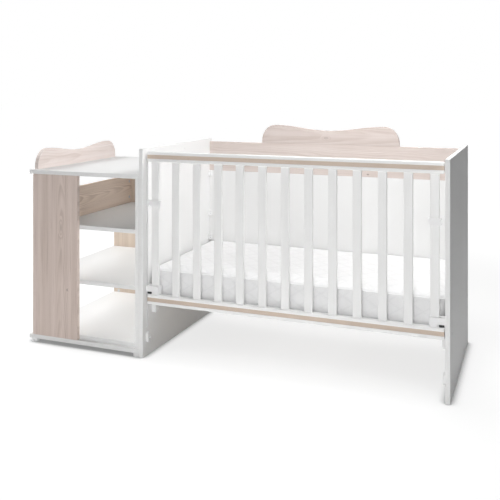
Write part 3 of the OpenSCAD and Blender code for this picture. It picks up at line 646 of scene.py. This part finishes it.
@dataclass(frozen=True)
class QuiltedKnit(Finish):
    """White knitted cover: fine loops, and stitches that sink between the quilted pads, with
    painted shade in their valleys.
    """

    colour: Colour = (0.820, 0.820, 0.822)
    # darker colour used for the painted shade in the stitched valleys and for the knit's cloudy
    # mottle
    shade_and_mottle: Colour = (0.735, 0.735, 0.740)
    thread: Colour = (0.70, 0.70, 0.705)
    loop: float = 700.0
    loop_d: float = 0.25 * MM
    fuzz_d: float = 0.30 * MM
    pucker_d: float = 0.90 * MM
    roughness: float = 0.92
    shine: float = 0.2

    def paint(self, bench: Bench, place: Socket, box: Box) -> None:
        """Loops and fuzz, with the piece's quilting read from its attribute.

        Args:
            bench: the material's tree.
            place: the point on the piece.
            box: the piece's lowest and highest corners.
        """
        x, y, z = bench.split(place)
        stored = bench.add("ShaderNodeAttribute", {"attribute_name": QUILT})
        quilt = Value(bench, stored.outputs["Fac"])
        wales = ((x + y) * self.loop).fract()
        courses = ((z + y * 0.5) * self.loop * 1.3).fract()
        loops = (wales - 0.5).distance() + (courses - 0.5).distance()
        fuzz = bench.noise(place, 900.0, 3.0, 0.7)
        cloud = bench.noise(bench.stretched(place, (60.0, 60.0, 14.0)), 1.0, 3.0, 0.6)
        # painted shade: the cover is darkened along the stitched valleys, where the quilting pulls
        # it in
        tone = bench.mix(quilt * 0.55, self.colour, self.shade_and_mottle)
        # the same darker colour also lays a cloudy mottle over the knit, a pattern of the cloth
        tone = bench.mix(cloud.step(0.45, 0.75) * 0.25, tone, self.shade_and_mottle)
        tone = bench.mix(fuzz.step(0.60, 0.85) * 0.20, tone, self.thread)
        relief = bench.bump(loops, self.loop_d, 0.35)
        relief = bench.bump(fuzz, self.fuzz_d, 0.40, relief)
        relief = bench.bump(cloud, self.pucker_d, 0.35, relief)
        roughness = self.roughness + (fuzz - 0.5) * 0.08
        nap = {"Sheen Weight": 0.25, "Sheen Roughness": 0.5, "Specular IOR Level": self.shine}
        bench.finish(tone, roughness, relief, nap)


CREST_OAK = OakTone((0.655, 0.580, 0.548), (0.585, 0.500, 0.462), (0.45, 0.36, 0.315))
BOARD_OAK = OakTone((0.735, 0.655, 0.620), (0.655, 0.565, 0.525), (0.50, 0.405, 0.355))
UPRIGHT_OAK = OakTone((0.742, 0.632, 0.580), (0.652, 0.540, 0.482), (0.42, 0.32, 0.268))
BACK_OAK = OakTone((0.700, 0.595, 0.500), (0.615, 0.510, 0.415), (0.44, 0.34, 0.26))
GUARD_OAK = OakTone((0.865, 0.778, 0.745), (0.790, 0.690, 0.645), (0.60, 0.49, 0.435))
# painted light: the gallery rail's oak is set about 1.2 times lighter than the board oak, to lift
# it out of the shade under the changer's top
GALLERY_OAK_LIGHTENED = OakTone((0.900, 0.755, 0.645), (0.790, 0.645, 0.530), (0.54, 0.40, 0.31))

BOARD = WhiteBoard("white_board")
SLAT_LACQUER = WhiteLacquer("slat_lacquer")
RAIL_LACQUER = WhiteLacquer("rail_lacquer", grain=Axis.X)
STRIP = PlainWood(
    "beige_strip", Axis.X, (0.63, 0.520, 0.435), (0.515, 0.42, 0.34), (0.38, 0.295, 0.23)
)
BEECH = ((0.72, 0.56, 0.38), (0.62, 0.46, 0.30), (0.48, 0.33, 0.20))
BEECH_Y = PlainWood("beech_slat", Axis.Y, *BEECH)
BEECH_Z = PlainWood("beech_dowel", Axis.Z, *BEECH)
WHITE_PLASTIC = MouldedPlastic("white_plastic", (0.83, 0.83, 0.832), (0.76, 0.76, 0.765))
BLACK_PLASTIC = MouldedPlastic("black_plastic", (0.018, 0.018, 0.020), (0.05, 0.05, 0.052), 0.40)
ZINC = ZincSteel("zinc_steel")
COVER = QuiltedKnit("quilted_knit")


# ---------------------------------------------------------------- meshes

def link(name: str, data: bpy.types.ID) -> bpy.types.Object:
    """Puts a new object in the scene, at the origin.

    Args:
        name: the object's name.
        data: its mesh, curve, lamp or camera.

    Returns:
        The object.
    """
    piece = bpy.data.objects.new(name, data)
    bpy.context.scene.collection.objects.link(piece)
    return piece


def merged_copy(mesh: bpy.types.Mesh) -> bpy.types.Mesh:
    """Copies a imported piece's mesh and joins its loose triangles, which stay flat.

    Args:
        mesh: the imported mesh, which stays as it is.

    Returns:
        The copy.
    """
    copy = mesh.copy()
    stored = copy.attributes.get("custom_normal")
    if stored is not None:
        copy.attributes.remove(stored)
    bm = bmesh.new()
    bm.from_mesh(copy)
    bmesh.ops.remove_doubles(bm, verts=bm.verts, dist=MERGE)
    bm.to_mesh(copy)
    bm.free()
    copy.shade_flat()
    return copy


def shown_mesh(piece: bpy.types.Object) -> bpy.types.Mesh:
    """A new mesh of what the piece's modifiers or bevel show."""
    depsgraph = bpy.context.evaluated_depsgraph_get()
    return bpy.data.meshes.new_from_object(piece.evaluated_get(depsgraph), depsgraph=depsgraph)


def shade_smooth(mesh: bpy.types.Mesh) -> None:
    """Shades every face of the mesh smooth."""
    for polygon in mesh.polygons:
        polygon.use_smooth = True


def apply_modifiers(piece: bpy.types.Object) -> None:
    """Makes the piece's mesh what its modifiers show, and takes them off.

    Args:
        piece: the piece.
    """
    mesh = shown_mesh(piece)
    old = piece.data
    piece.modifiers.clear()
    piece.data = mesh
    bpy.data.meshes.remove(old)


# ---------------------------------------------------------------- sub-assemblies

@dataclass
class SubAssembly:
    """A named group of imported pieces, each with its finish."""

    title: str

    def finishes(self) -> dict[str, Finish]:
        """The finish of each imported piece."""
        raise NotImplementedError

    def dress(self) -> list[bpy.types.Object]:
        """Puts the finishes on.

        Returns:
            The dressed pieces.
        """
        dressed = []
        for node, finish in self.finishes().items():
            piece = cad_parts[node]
            finish.dress(piece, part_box(node))
            dressed.append(piece)
        return dressed

    def build(self) -> list[bpy.types.Object]:
        """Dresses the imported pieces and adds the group's own.

        Returns:
            Every piece of the group.
        """
        return self.dress()


@dataclass
class CotShell(SubAssembly):
    """End panels, back boards and crest."""

    board_grain: Axis = Axis.X
    heart_z: float = 0.795
    crest_heart_z: float = 0.905
    board_knot: Figure = Figure(0.472, 0.734, 0.011, 0.006, 1.6, 0.75)
    crest_knot: Figure = Figure(0.270, 0.899, 0.020, 0.010, 2.2, 0.30)

    def finishes(self) -> dict[str, Finish]:
        """White ends and back panel under an oak top board and crest.

        Returns:
            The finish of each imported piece.
        """
        top = OakFoil(
            "back_oak", BOARD_OAK, self.board_grain, Axis.Z, self.heart_z, (self.board_knot,),
            arches=3.0, spread=1500.0, seed=2.0,
        )
        crest = OakFoil(
            "crest_oak", CREST_OAK, self.board_grain, Axis.Z, self.crest_heart_z,
            (self.crest_knot,), arches=4.0, spread=1100.0, seed=5.0,
        )
        whites = ("end_panel_left", "end_panel_right", "back_panel")
        return {**{node: BOARD for node in whites}, "back_top_board": top, "headboard_crest": crest}


@dataclass
class MattressBase(SubAssembly):
    """Rails, slats and brackets under the mattress."""

    def finishes(self) -> dict[str, Finish]:
        """White rails, beech slats and white brackets.

        Returns:
            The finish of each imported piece.
        """
        rails = ("base_end_rails", "base_side_rail_front", "base_side_rail_back")
        return {
            **{node: BOARD for node in rails},
            "base_slats": BEECH_Y,
            "base_brackets": WHITE_PLASTIC,
        }


@dataclass
class DropSide(SubAssembly):
    """Slatted side with its strips, clips, housings and latch bolts."""

    slat_count: int = 13

    def finishes(self) -> dict[str, Finish]:
        """White rails and slats, beige strips, white fittings and black latch bolts.

        Returns:
            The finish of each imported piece.
        """
        slats = {f"slat_{i}": SLAT_LACQUER for i in range(1, self.slat_count + 1)}
        return {
            "drop_top_rail": RAIL_LACQUER, "drop_bottom_rail": RAIL_LACQUER,
            "top_rail_strip": STRIP, "bottom_rail_strip": STRIP,
            **slats,
            "guide_clips": WHITE_PLASTIC,
            "latch_housing_left": WHITE_PLASTIC, "latch_housing_right": WHITE_PLASTIC,
            "housing_screws": ZINC,
            "latch_bolt_left": BLACK_PLASTIC, "latch_bolt_right": BLACK_PLASTIC,
        }


@dataclass
class LatchSprings(SubAssembly):
    """The springs behind the latch bolts."""

    travel: float = 5.0 * MM
    slack: float = 0.4 * MM

    def spring(self, side: str, wall: int) -> bpy.types.Object:
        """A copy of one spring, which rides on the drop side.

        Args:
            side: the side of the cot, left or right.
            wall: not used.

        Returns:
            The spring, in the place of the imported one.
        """
        node = f"latch_spring_{side}"
        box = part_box(node)
        piece = link(f"{node}_wire", merged_copy(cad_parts[node].data))
        ZINC.dress(piece, box)
        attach(piece, Body.DROP_SIDE.value)
        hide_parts(node)
        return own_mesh(piece)

    def build(self) -> list[bpy.types.Object]:
        """Both springs."""
        return [self.spring("left", 1), self.spring("right", 0)]


@dataclass
class Fittings(SubAssembly):
    """Everything that joins the boards, with the tracks and stops on the ends."""

    def finishes(self) -> dict[str, Finish]:
        """Zinc screws, cams and bolts, beech dowels and white plastic parts.

        Returns:
            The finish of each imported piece.
        """
        zinc = ("cam_discs", "cam_bolts", "base_bolts", "base_insert_nuts", "panel_screws",
                "joining_bolts")
        white = ("corner_blocks", "bolt_hole_caps", "guide_track_left", "guide_track_right",
                 "drop_stops", "changer_feet")
        return {
            **{node: ZINC for node in zinc},
            **{node: WHITE_PLASTIC for node in white},
            "dowels": BEECH_Z,
        }


@dataclass
class ChangingUnit(SubAssembly):
    """Top, shelves, uprights, gallery rail and guard beside the cot."""

    upright_heart: float = -0.752
    back_heart: float = -0.722
    eye: Figure = Figure(0.520, -0.7492, 0.040, 0.011, 2.4, 0.12)
    upright_knot: Figure = Figure(0.249, -0.7177, 0.010, 0.006, 1.2, 0.65)
    gallery_heart: float = 0.61
    guard_heart: float = 0.80

    def finishes(self) -> dict[str, Finish]:
        """White boards, oak uprights, gallery rail and guard.

        Returns:
            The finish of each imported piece.
        """
        whites = ("changer_top", "changer_base_board", "changer_deck", "changer_side_panel",
                  "changer_upper_shelf", "changer_middle_shelf")
        front = OakFoil(
            "upright_oak", UPRIGHT_OAK, Axis.Z, Axis.X, self.upright_heart,
            (self.eye, self.upright_knot), arches=7.0, spread=2300.0, line=0.42, streak=0.42,
            seed=1.0,
        )
        back = OakFoil(
            "back_upright_oak", BACK_OAK, Axis.Z, Axis.X, self.back_heart,
            arches=6.0, spread=1800.0, seed=8.0,
        )
        # painted light: this oak is lightened to make up for the shade the rail sits in
        gallery = OakFoil(
            "gallery_oak", GALLERY_OAK_LIGHTENED, Axis.Y, Axis.Z, self.gallery_heart,
            arches=9.0, spread=2600.0, wander=0.034, line=0.60, streak=0.50, seed=4.0,
        )
        guard = OakFoil(
            "guard_oak", GUARD_OAK, Axis.Y, Axis.Z, self.guard_heart,
            arches=5.0, spread=1200.0, seed=6.0,
        )
        return {
            **{node: BOARD for node in whites},
            "changer_front_upright": front, "changer_back_upright": back,
            "changer_gallery_rail": gallery, "changer_guard": guard,
        }


# ---------------------------------------------------------------- mattress

@dataclass
class MattressPad(SubAssembly):
    """The mattress: a foam block in a quilted cover with a piped seam round each rim."""

    slack: float = 5.0 * MM
    corner_r: float = 27.0 * MM
    rim_r: float = 17.0 * MM
    under_r: float = 6.0 * MM
    voxel: float = 10.0 * MM
    pressure: float = 4.0
    frames: int = 20
    swell: float = 6.0 * MM
    seam_reach: float = 12.0 * MM
    pitch: float = 88.0 * MM
    stitch_w: float = 9.0 * MM
    stitch_d: float = 1.6 * MM
    piping_r: float = 2.6 * MM
    wave: float = 1.6 * MM
    waves: float = 7.0
    flat_face: float = 0.7
    near: float = 0.1 * MM
    path_step: float = 15.0 * MM
    corner_steps: int = 8
    rim_steps: int = 4
    piping_steps: int = 2
    piping_sunk: float = 0.5
    seam_hold: float = 1.6
    border_stretch: float = 1.6
    border_share: float = 0.6

    low: Vector = field(init=False)
    high: Vector = field(init=False)

    def __post_init__(self) -> None:
        """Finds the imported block's corners, less the room that the cover swells into."""
        low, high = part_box("mattress")
        self.low = Vector((low.x + self.slack, low.y + self.slack, low.z))
        self.high = high - Vector((self.slack, self.slack, self.slack))

    def finishes(self) -> dict[str, Finish]:
        """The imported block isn't dressed, because the cover replaces it."""
        return {}

    def box(self) -> Box:
        """The cover's corners before it swells."""
        return self.low, self.high

    def block(self) -> bpy.types.Object:
        """The foam block with rounded corners and rims, remeshed evenly.

        Returns:
            The block, at the origin.
        """
        low, high = self.box()
        bm = bmesh.new()
        bmesh.ops.create_cube(bm, size=1.0)
        bmesh.ops.scale(bm, vec=high - low, verts=bm.verts)
        bmesh.ops.translate(bm, vec=(low + high) / 2, verts=bm.verts)
        upright = [e for e in bm.edges if abs(e.verts[0].co.z - e.verts[1].co.z) > self.corner_r]
        bmesh.ops.bevel(bm, geom=upright, offset=self.corner_r, affect="EDGES",
                        segments=self.corner_steps, profile=0.5, material=-1)
        for z, radius in ((high.z, self.rim_r), (low.z, self.under_r)):
            rim = [e for e in bm.edges if all(abs(v.co.z - z) < self.near for v in e.verts)]
            bmesh.ops.bevel(bm, geom=rim, offset=radius, affect="EDGES",
                            segments=self.rim_steps, profile=0.5, material=-1)
        mesh = bpy.data.meshes.new("mattress_cover")
        bm.to_mesh(mesh)
        bm.free()
        piece = link("mattress_cover", mesh)
        remesh = piece.modifiers.new("even", "REMESH")
        remesh.mode = "VOXEL"
        remesh.voxel_size = self.voxel
        apply_modifiers(piece)
        return piece

    def seam_heights(self) -> tuple[float, float]:
        """Where the top and the underside are sewn to the border."""
        low, high = self.box()
        return low.z + self.under_r, high.z - self.rim_r

    def seam_weight(self, point: Vector) -> float:
        """How firmly a seam holds a point.

        Args:
            point: the point.

        Returns:
            1 on the seam and 0 away from it.
        """
        low, high = self.box()
        inset = min(point.x - low.x, high.x - point.x, point.y - low.y, high.y - point.y)
        drop = min(abs(point.z - seam) for seam in self.seam_heights())
        away = math.hypot(max(inset, 0.0), drop)
        return max(0.0, 1.0 - away / self.seam_reach)

    def inflate(self, piece: bpy.types.Object) -> None:
        """Swells the cover between its seams with cloth, and caps how far it moves.

        Args:
            piece: the remeshed block.
        """
        before = [v.co.copy() for v in piece.data.vertices]
        held = piece.vertex_groups.new(name="seams")
        for v in piece.data.vertices:
            weight = self.seam_weight(v.co)
            if weight > 0:
                held.add([v.index], min(1.0, weight * self.seam_hold), "REPLACE")
        cloth = piece.modifiers.new("cloth", "CLOTH")
        settings = cloth.settings
        settings.use_pressure = True
        settings.uniform_pressure_force = self.pressure
        settings.vertex_group_mass = held.name
        settings.effector_weights.gravity = 0
        cloth.point_cache.frame_start = 1
        cloth.point_cache.frame_end = self.frames
        scene = bpy.context.scene
        for number in range(1, self.frames + 1):
            scene.frame_set(number)
        apply_modifiers(piece)
        scene.frame_set(1)
        for v, start in zip(piece.data.vertices, before):
            move = v.co - start
            if move.length > self.swell:
                v.co = start + move.normalized() * self.swell

    def quilting(self, point: Vector, normal: Vector) -> float:
        """How deep the stitches pull a point in.

        Args:
            point: the point.
            normal: the surface's normal there.

        Returns:
            The depth, from 0 to 1.
        """
        low, high = self.box()
        if abs(normal.z) > self.flat_face:
            u, v = point.x - low.x, point.y - low.y
        else:
            u, v = point.x + point.y, (point.z - low.z) * self.border_stretch
        first, second = (u + v) / self.pitch, (u - v) / self.pitch
        near = min(abs(first - round(first)), abs(second - round(second))) * self.pitch
        return math.exp(-((near / (self.stitch_w / 2)) ** 2))

    def quilt(self, piece: bpy.types.Object) -> None:
        """Sinks the quilting's stitches, waves the rims a little and rests the underside.

        Args:
            piece: the swollen cover.
        """
        subdivide = piece.modifiers.new("finer", "SUBSURF")
        subdivide.levels = subdivide.render_levels = 1
        apply_modifiers(piece)
        mesh = piece.data
        depths = []
        normals = [v.normal.copy() for v in mesh.vertices]
        for v, normal in zip(mesh.vertices, normals):
            hold = 1.0 - self.seam_weight(v.co)
            depth = self.quilting(v.co, normal) * hold
            share = 1.0 if abs(normal.z) > self.flat_face else self.border_share
            v.co -= normal * (self.stitch_d * depth * share)
            v.co.z = max(v.co.z + self.swing(v.co), self.low.z + self.near)
            depths.append(depth)
        attribute = mesh.attributes.new(QUILT, "FLOAT", "POINT")
        attribute.data.foreach_set("value", depths)
        shade_smooth(mesh)

    def swing(self, point: Vector) -> float:
        """How the cover's upper half waves.

        Args:
            point: the point.

        Returns:
            How far the cover stands above its level there, 0 in the lower half.
        """
        if point.z <= (self.low.z + self.high.z) / 2:
            return 0.0
        return noise.noise(Vector((point.x * self.waves, point.y * self.waves, 0.3))) * self.wave

    def rim_path(self, z: float, inset: float) -> list[Vector]:
        """The line of a rim's seam.

        Args:
            z: its height.
            inset: how far it lies inside the block's sides.

        Returns:
            The points of the closed line.
        """
        low, high = self.box()
        radius = self.corner_r - inset
        points = []
        corners = ((high.x, high.y), (low.x, high.y), (low.x, low.y), (high.x, low.y))
        for quarter, (x, y) in enumerate(corners):
            centre = Vector((x - math.copysign(self.corner_r, x - low.x - MM),
                             y - math.copysign(self.corner_r, y - low.y - MM), z))
            for step in range(self.corner_steps + 1):
                turn = math.radians(90.0 * (quarter + step / self.corner_steps))
                points.append(centre + Vector((math.cos(turn), math.sin(turn), 0.0)) * radius)
        return self.waved(points)

    def waved(self, corners: Sequence[Vector]) -> list[Vector]:
        """The line with points along its straights, waved as the cover is.

        Args:
            corners: the points of the closed line.

        Returns:
            More points of the same line.
        """
        points = []
        for here, there in zip(corners, (*corners[1:], corners[0])):
            steps = max(1, round((there - here).length / self.path_step))
            for step in range(steps):
                point = here.lerp(there, step / steps)
                points.append(point + Vector((0.0, 0.0, self.swing(point))))
        return points

    def piping(self, name: str, z: float) -> bpy.types.Object:
        """A round piping along a rim.

        Args:
            name: the piece's name.
            z: the seam's height.

        Returns:
            The piece.
        """
        curve = bpy.data.curves.new(name, "CURVE")
        curve.dimensions = "3D"
        curve.bevel_depth = self.piping_r
        curve.bevel_resolution = self.piping_steps
        spline = curve.splines.new("POLY")
        path = self.rim_path(z, self.piping_r * self.piping_sunk)
        spline.points.add(len(path) - 1)
        for place, point in zip(spline.points, path):
            place.co = (*point, 1.0)
        spline.use_cyclic_u = True
        shape = link(name, curve)
        mesh = shown_mesh(shape)
        bpy.data.objects.remove(shape)
        shade_smooth(mesh)
        return link(name, mesh)

    def build(self) -> list[bpy.types.Object]:
        """Makes the cover and its two pipings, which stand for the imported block.

        Returns:
            The cover and the pipings.
        """
        cover = self.block()
        self.inflate(cover)
        self.quilt(cover)
        seams = zip(("mattress_piping_bottom", "mattress_piping_top"), self.seam_heights())
        pieces = [cover, *(self.piping(name, z) for name, z in seams)]
        for piece in pieces:
            COVER.dress(piece, self.box())
            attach(piece, Body.MATTRESS.value)
        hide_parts("mattress")
        return pieces


# ---------------------------------------------------------------- studio

@dataclass(frozen=True)
class Softbox:
    """A rectangular lamp."""

    name: str
    place: tuple[float, float, float]
    aim: tuple[float, float, float]
    size: tuple[float, float]
    power: float
    spread: float = 180.0

    def build(self) -> bpy.types.Object:
        """Hangs the lamp and turns it to what it lights.

        Returns:
            The lamp.
        """
        data = bpy.data.lights.new(self.name, "AREA")
        data.shape = "RECTANGLE"
        data.size, data.size_y = self.size
        data.energy = self.power
        data.spread = math.radians(self.spread)
        lamp = link(self.name, data)
        lamp.visible_camera = False
        lamp.location = self.place
        ray = Vector(self.aim) - Vector(self.place)
        lamp.rotation_euler = ray.to_track_quat("-Z", "Y").to_euler()
        return lamp


@dataclass
class Studio:
    """The pale floor, the white surroundings, the lamps and the camera."""

    fill: float = 0.01
    floor_half: float = 30.0
    floor_colour: Colour = (0.88, 0.88, 0.88)
    floor_seen: float = 0.20
    floor_glow: float = 0.85
    # reach, depth and gain of the painted shade at the feet, then of the wider painted shade under
    # the cot
    contact_shade_reach: float = 0.045
    contact_shade_depth: float = 0.72
    contact_shade_gain: float = 2.0
    under_cot_shade_reach: float = 0.50
    under_cot_shade_depth: float = 0.13
    under_cot_shade_step: tuple[float, float] = (0.45, 0.90)
    fade_start: float = 1.6
    fade_end: float = 3.2
    eye: tuple[float, float, float] = (1.2174, -3.0693, 1.1402)
    azimuth: float = 21.39
    lens: float = 53.0
    shift: tuple[float, float] = (-0.0024, -0.3252)
    far: float = 100.0
    lamps: tuple[Softbox, ...] = (
        Softbox("over_cot", (0.30, 0.02, 1.9), (0.30, 0.02, 0.0), (0.9, 0.4), 5.5),
        Softbox("over_slant", (0.75, -0.1, 1.75), (-0.7, 0.0, 0.6), (0.5, 0.6), 12.5),
        Softbox("front", (0.3, -3.8, 1.8), (0.1, 0.0, 0.4), (1.6, 1.4), 23.0),
        Softbox("front_right", (0.85, -2.4, 0.80), (-0.7, 0.0, 0.50), (0.9, 0.7), 18.5),
        Softbox("back_top", (0.2, 2.4, 2.6), (0.1, 0.0, 0.4), (1.8, 1.2), 21.5),
        Softbox("left_low", (-2.8, 0.3, 0.5), (-0.5, 0.0, 0.2), (1.4, 0.8), 68.0),
        Softbox("left_high", (-2.4, -0.2, 2.2), (-0.6, 0.0, 0.4), (1.0, 1.0), 33.0),
        Softbox("right_floor", (1.30, 0.0, 0.9), (1.30, 0.0, 0.0), (0.4, 0.8), 0.7, 50.0),
        Softbox("under_rail", (0.30, -0.9, 0.9), (0.30, -0.7, 0.0), (1.2, 0.3), 1.3, 60.0),
    )

    def floor(self) -> bpy.types.Object:
        """A wide floor that keeps the shadow, with painted shade near the cot's feet and under it,
        and is otherwise white to the camera.

        Returns:
            The floor.
        """
        bm = bmesh.new()
        bmesh.ops.create_grid(bm, x_segments=1, y_segments=1, size=self.floor_half)
        mesh = bpy.data.meshes.new("studio_floor")
        bm.to_mesh(mesh)
        bm.free()
        piece = link("studio_floor", mesh)
        bench = Bench.material("studio_floor")
        place = bench.place()
        x, y, _ = bench.split(place)
        away = (x * x + y * y).root().step(self.fade_start, self.fade_end)
        grain = bench.noise(place, 3.0, 2.0)
        own = bench.mix(grain * 0.02, self.floor_colour, darkened(self.floor_colour, 0.97))
        real = bench.add("ShaderNodeBsdfDiffuse", None, {"Color": own})
        seen = bench.add("ShaderNodeBsdfDiffuse", None, {"Color": (*[self.floor_seen] * 3, 1.0)})
        # painted shade: the floor's glow is dimmed where little sky is open, close to the cot's
        # feet and panels and more broadly under the cot
        shut = (bench.nook(self.contact_shade_reach) * self.contact_shade_gain).least(1.0)
        under = bench.nook(self.under_cot_shade_reach).step(*self.under_cot_shade_step)
        clear = (1.0 - shut * shut * self.contact_shade_depth) * (1.0 - under * self.under_cot_shade_depth)
        strength = (away * (1.0 - self.floor_glow) + self.floor_glow) * clear
        glow = bench.add("ShaderNodeEmission", None, {"Color": WHITE, "Strength": strength})
        shown = bench.add("ShaderNodeAddShader", None, {0: seen.outputs[0], 1: glow.outputs[0]})
        surface = bench.add(
            "ShaderNodeMixShader", None,
            {0: bench.unlit_rays(), 1: real.outputs[0], 2: shown.outputs[0]},
        )
        bench.add("ShaderNodeOutputMaterial", None, {"Surface": surface.outputs[0]})
        mesh.materials.append(bench.owner)
        return piece

    def surroundings(self) -> None:
        """White for what is seen, and a dim even fill for the light itself."""
        bench = Bench(bpy.data.worlds.new("studio"))
        bpy.context.scene.world = bench.owner
        dim, white = (
            bench.add("ShaderNodeBackground", None, {"Color": WHITE, "Strength": strength})
            for strength in (self.fill, 1.0)
        )
        blend = bench.add(
            "ShaderNodeMixShader", None,
            {0: bench.unlit_rays(), 1: dim.outputs[0], 2: white.outputs[0]},
        )
        bench.add("ShaderNodeOutputWorld", None, {"Surface": blend.outputs[0]})

    def camera(self) -> bpy.types.Object:
        """The camera at the photograph's place.

        Returns:
            The camera.
        """
        data = bpy.data.cameras.new("photo_camera")
        data.sensor_fit = "HORIZONTAL"
        data.lens = self.lens
        data.shift_x, data.shift_y = self.shift
        data.clip_end = self.far
        piece = link("photo_camera", data)
        piece.location = self.eye
        piece.rotation_euler = (math.radians(90.0), 0.0, math.radians(self.azimuth))
        bpy.context.scene.camera = piece
        return piece

    def build(self) -> None:
        """Sets the whole studio up."""
        self.surroundings()
        self.floor()
        for lamp in self.lamps:
            lamp.build()
        self.camera()
        bpy.context.scene.view_settings.view_transform = "Standard"


def main() -> None:
    """Builds the studio and every sub-assembly, and reports each piece."""
    logging.basicConfig(level=logging.INFO, format="%(message)s")
    Studio().build()
    groups = (
        CotShell("cot shell"), MattressBase("mattress base"), DropSide("drop side"),
        LatchSprings("latch springs"), Fittings("fittings"), ChangingUnit("changing unit"),
        MattressPad("mattress"),
    )
    for group in groups:
        for piece in group.build():
            log.info("%s: %s, %d faces", group.title, piece.name, len(piece.data.polygons))


if __name__ == "__main__":
    main()
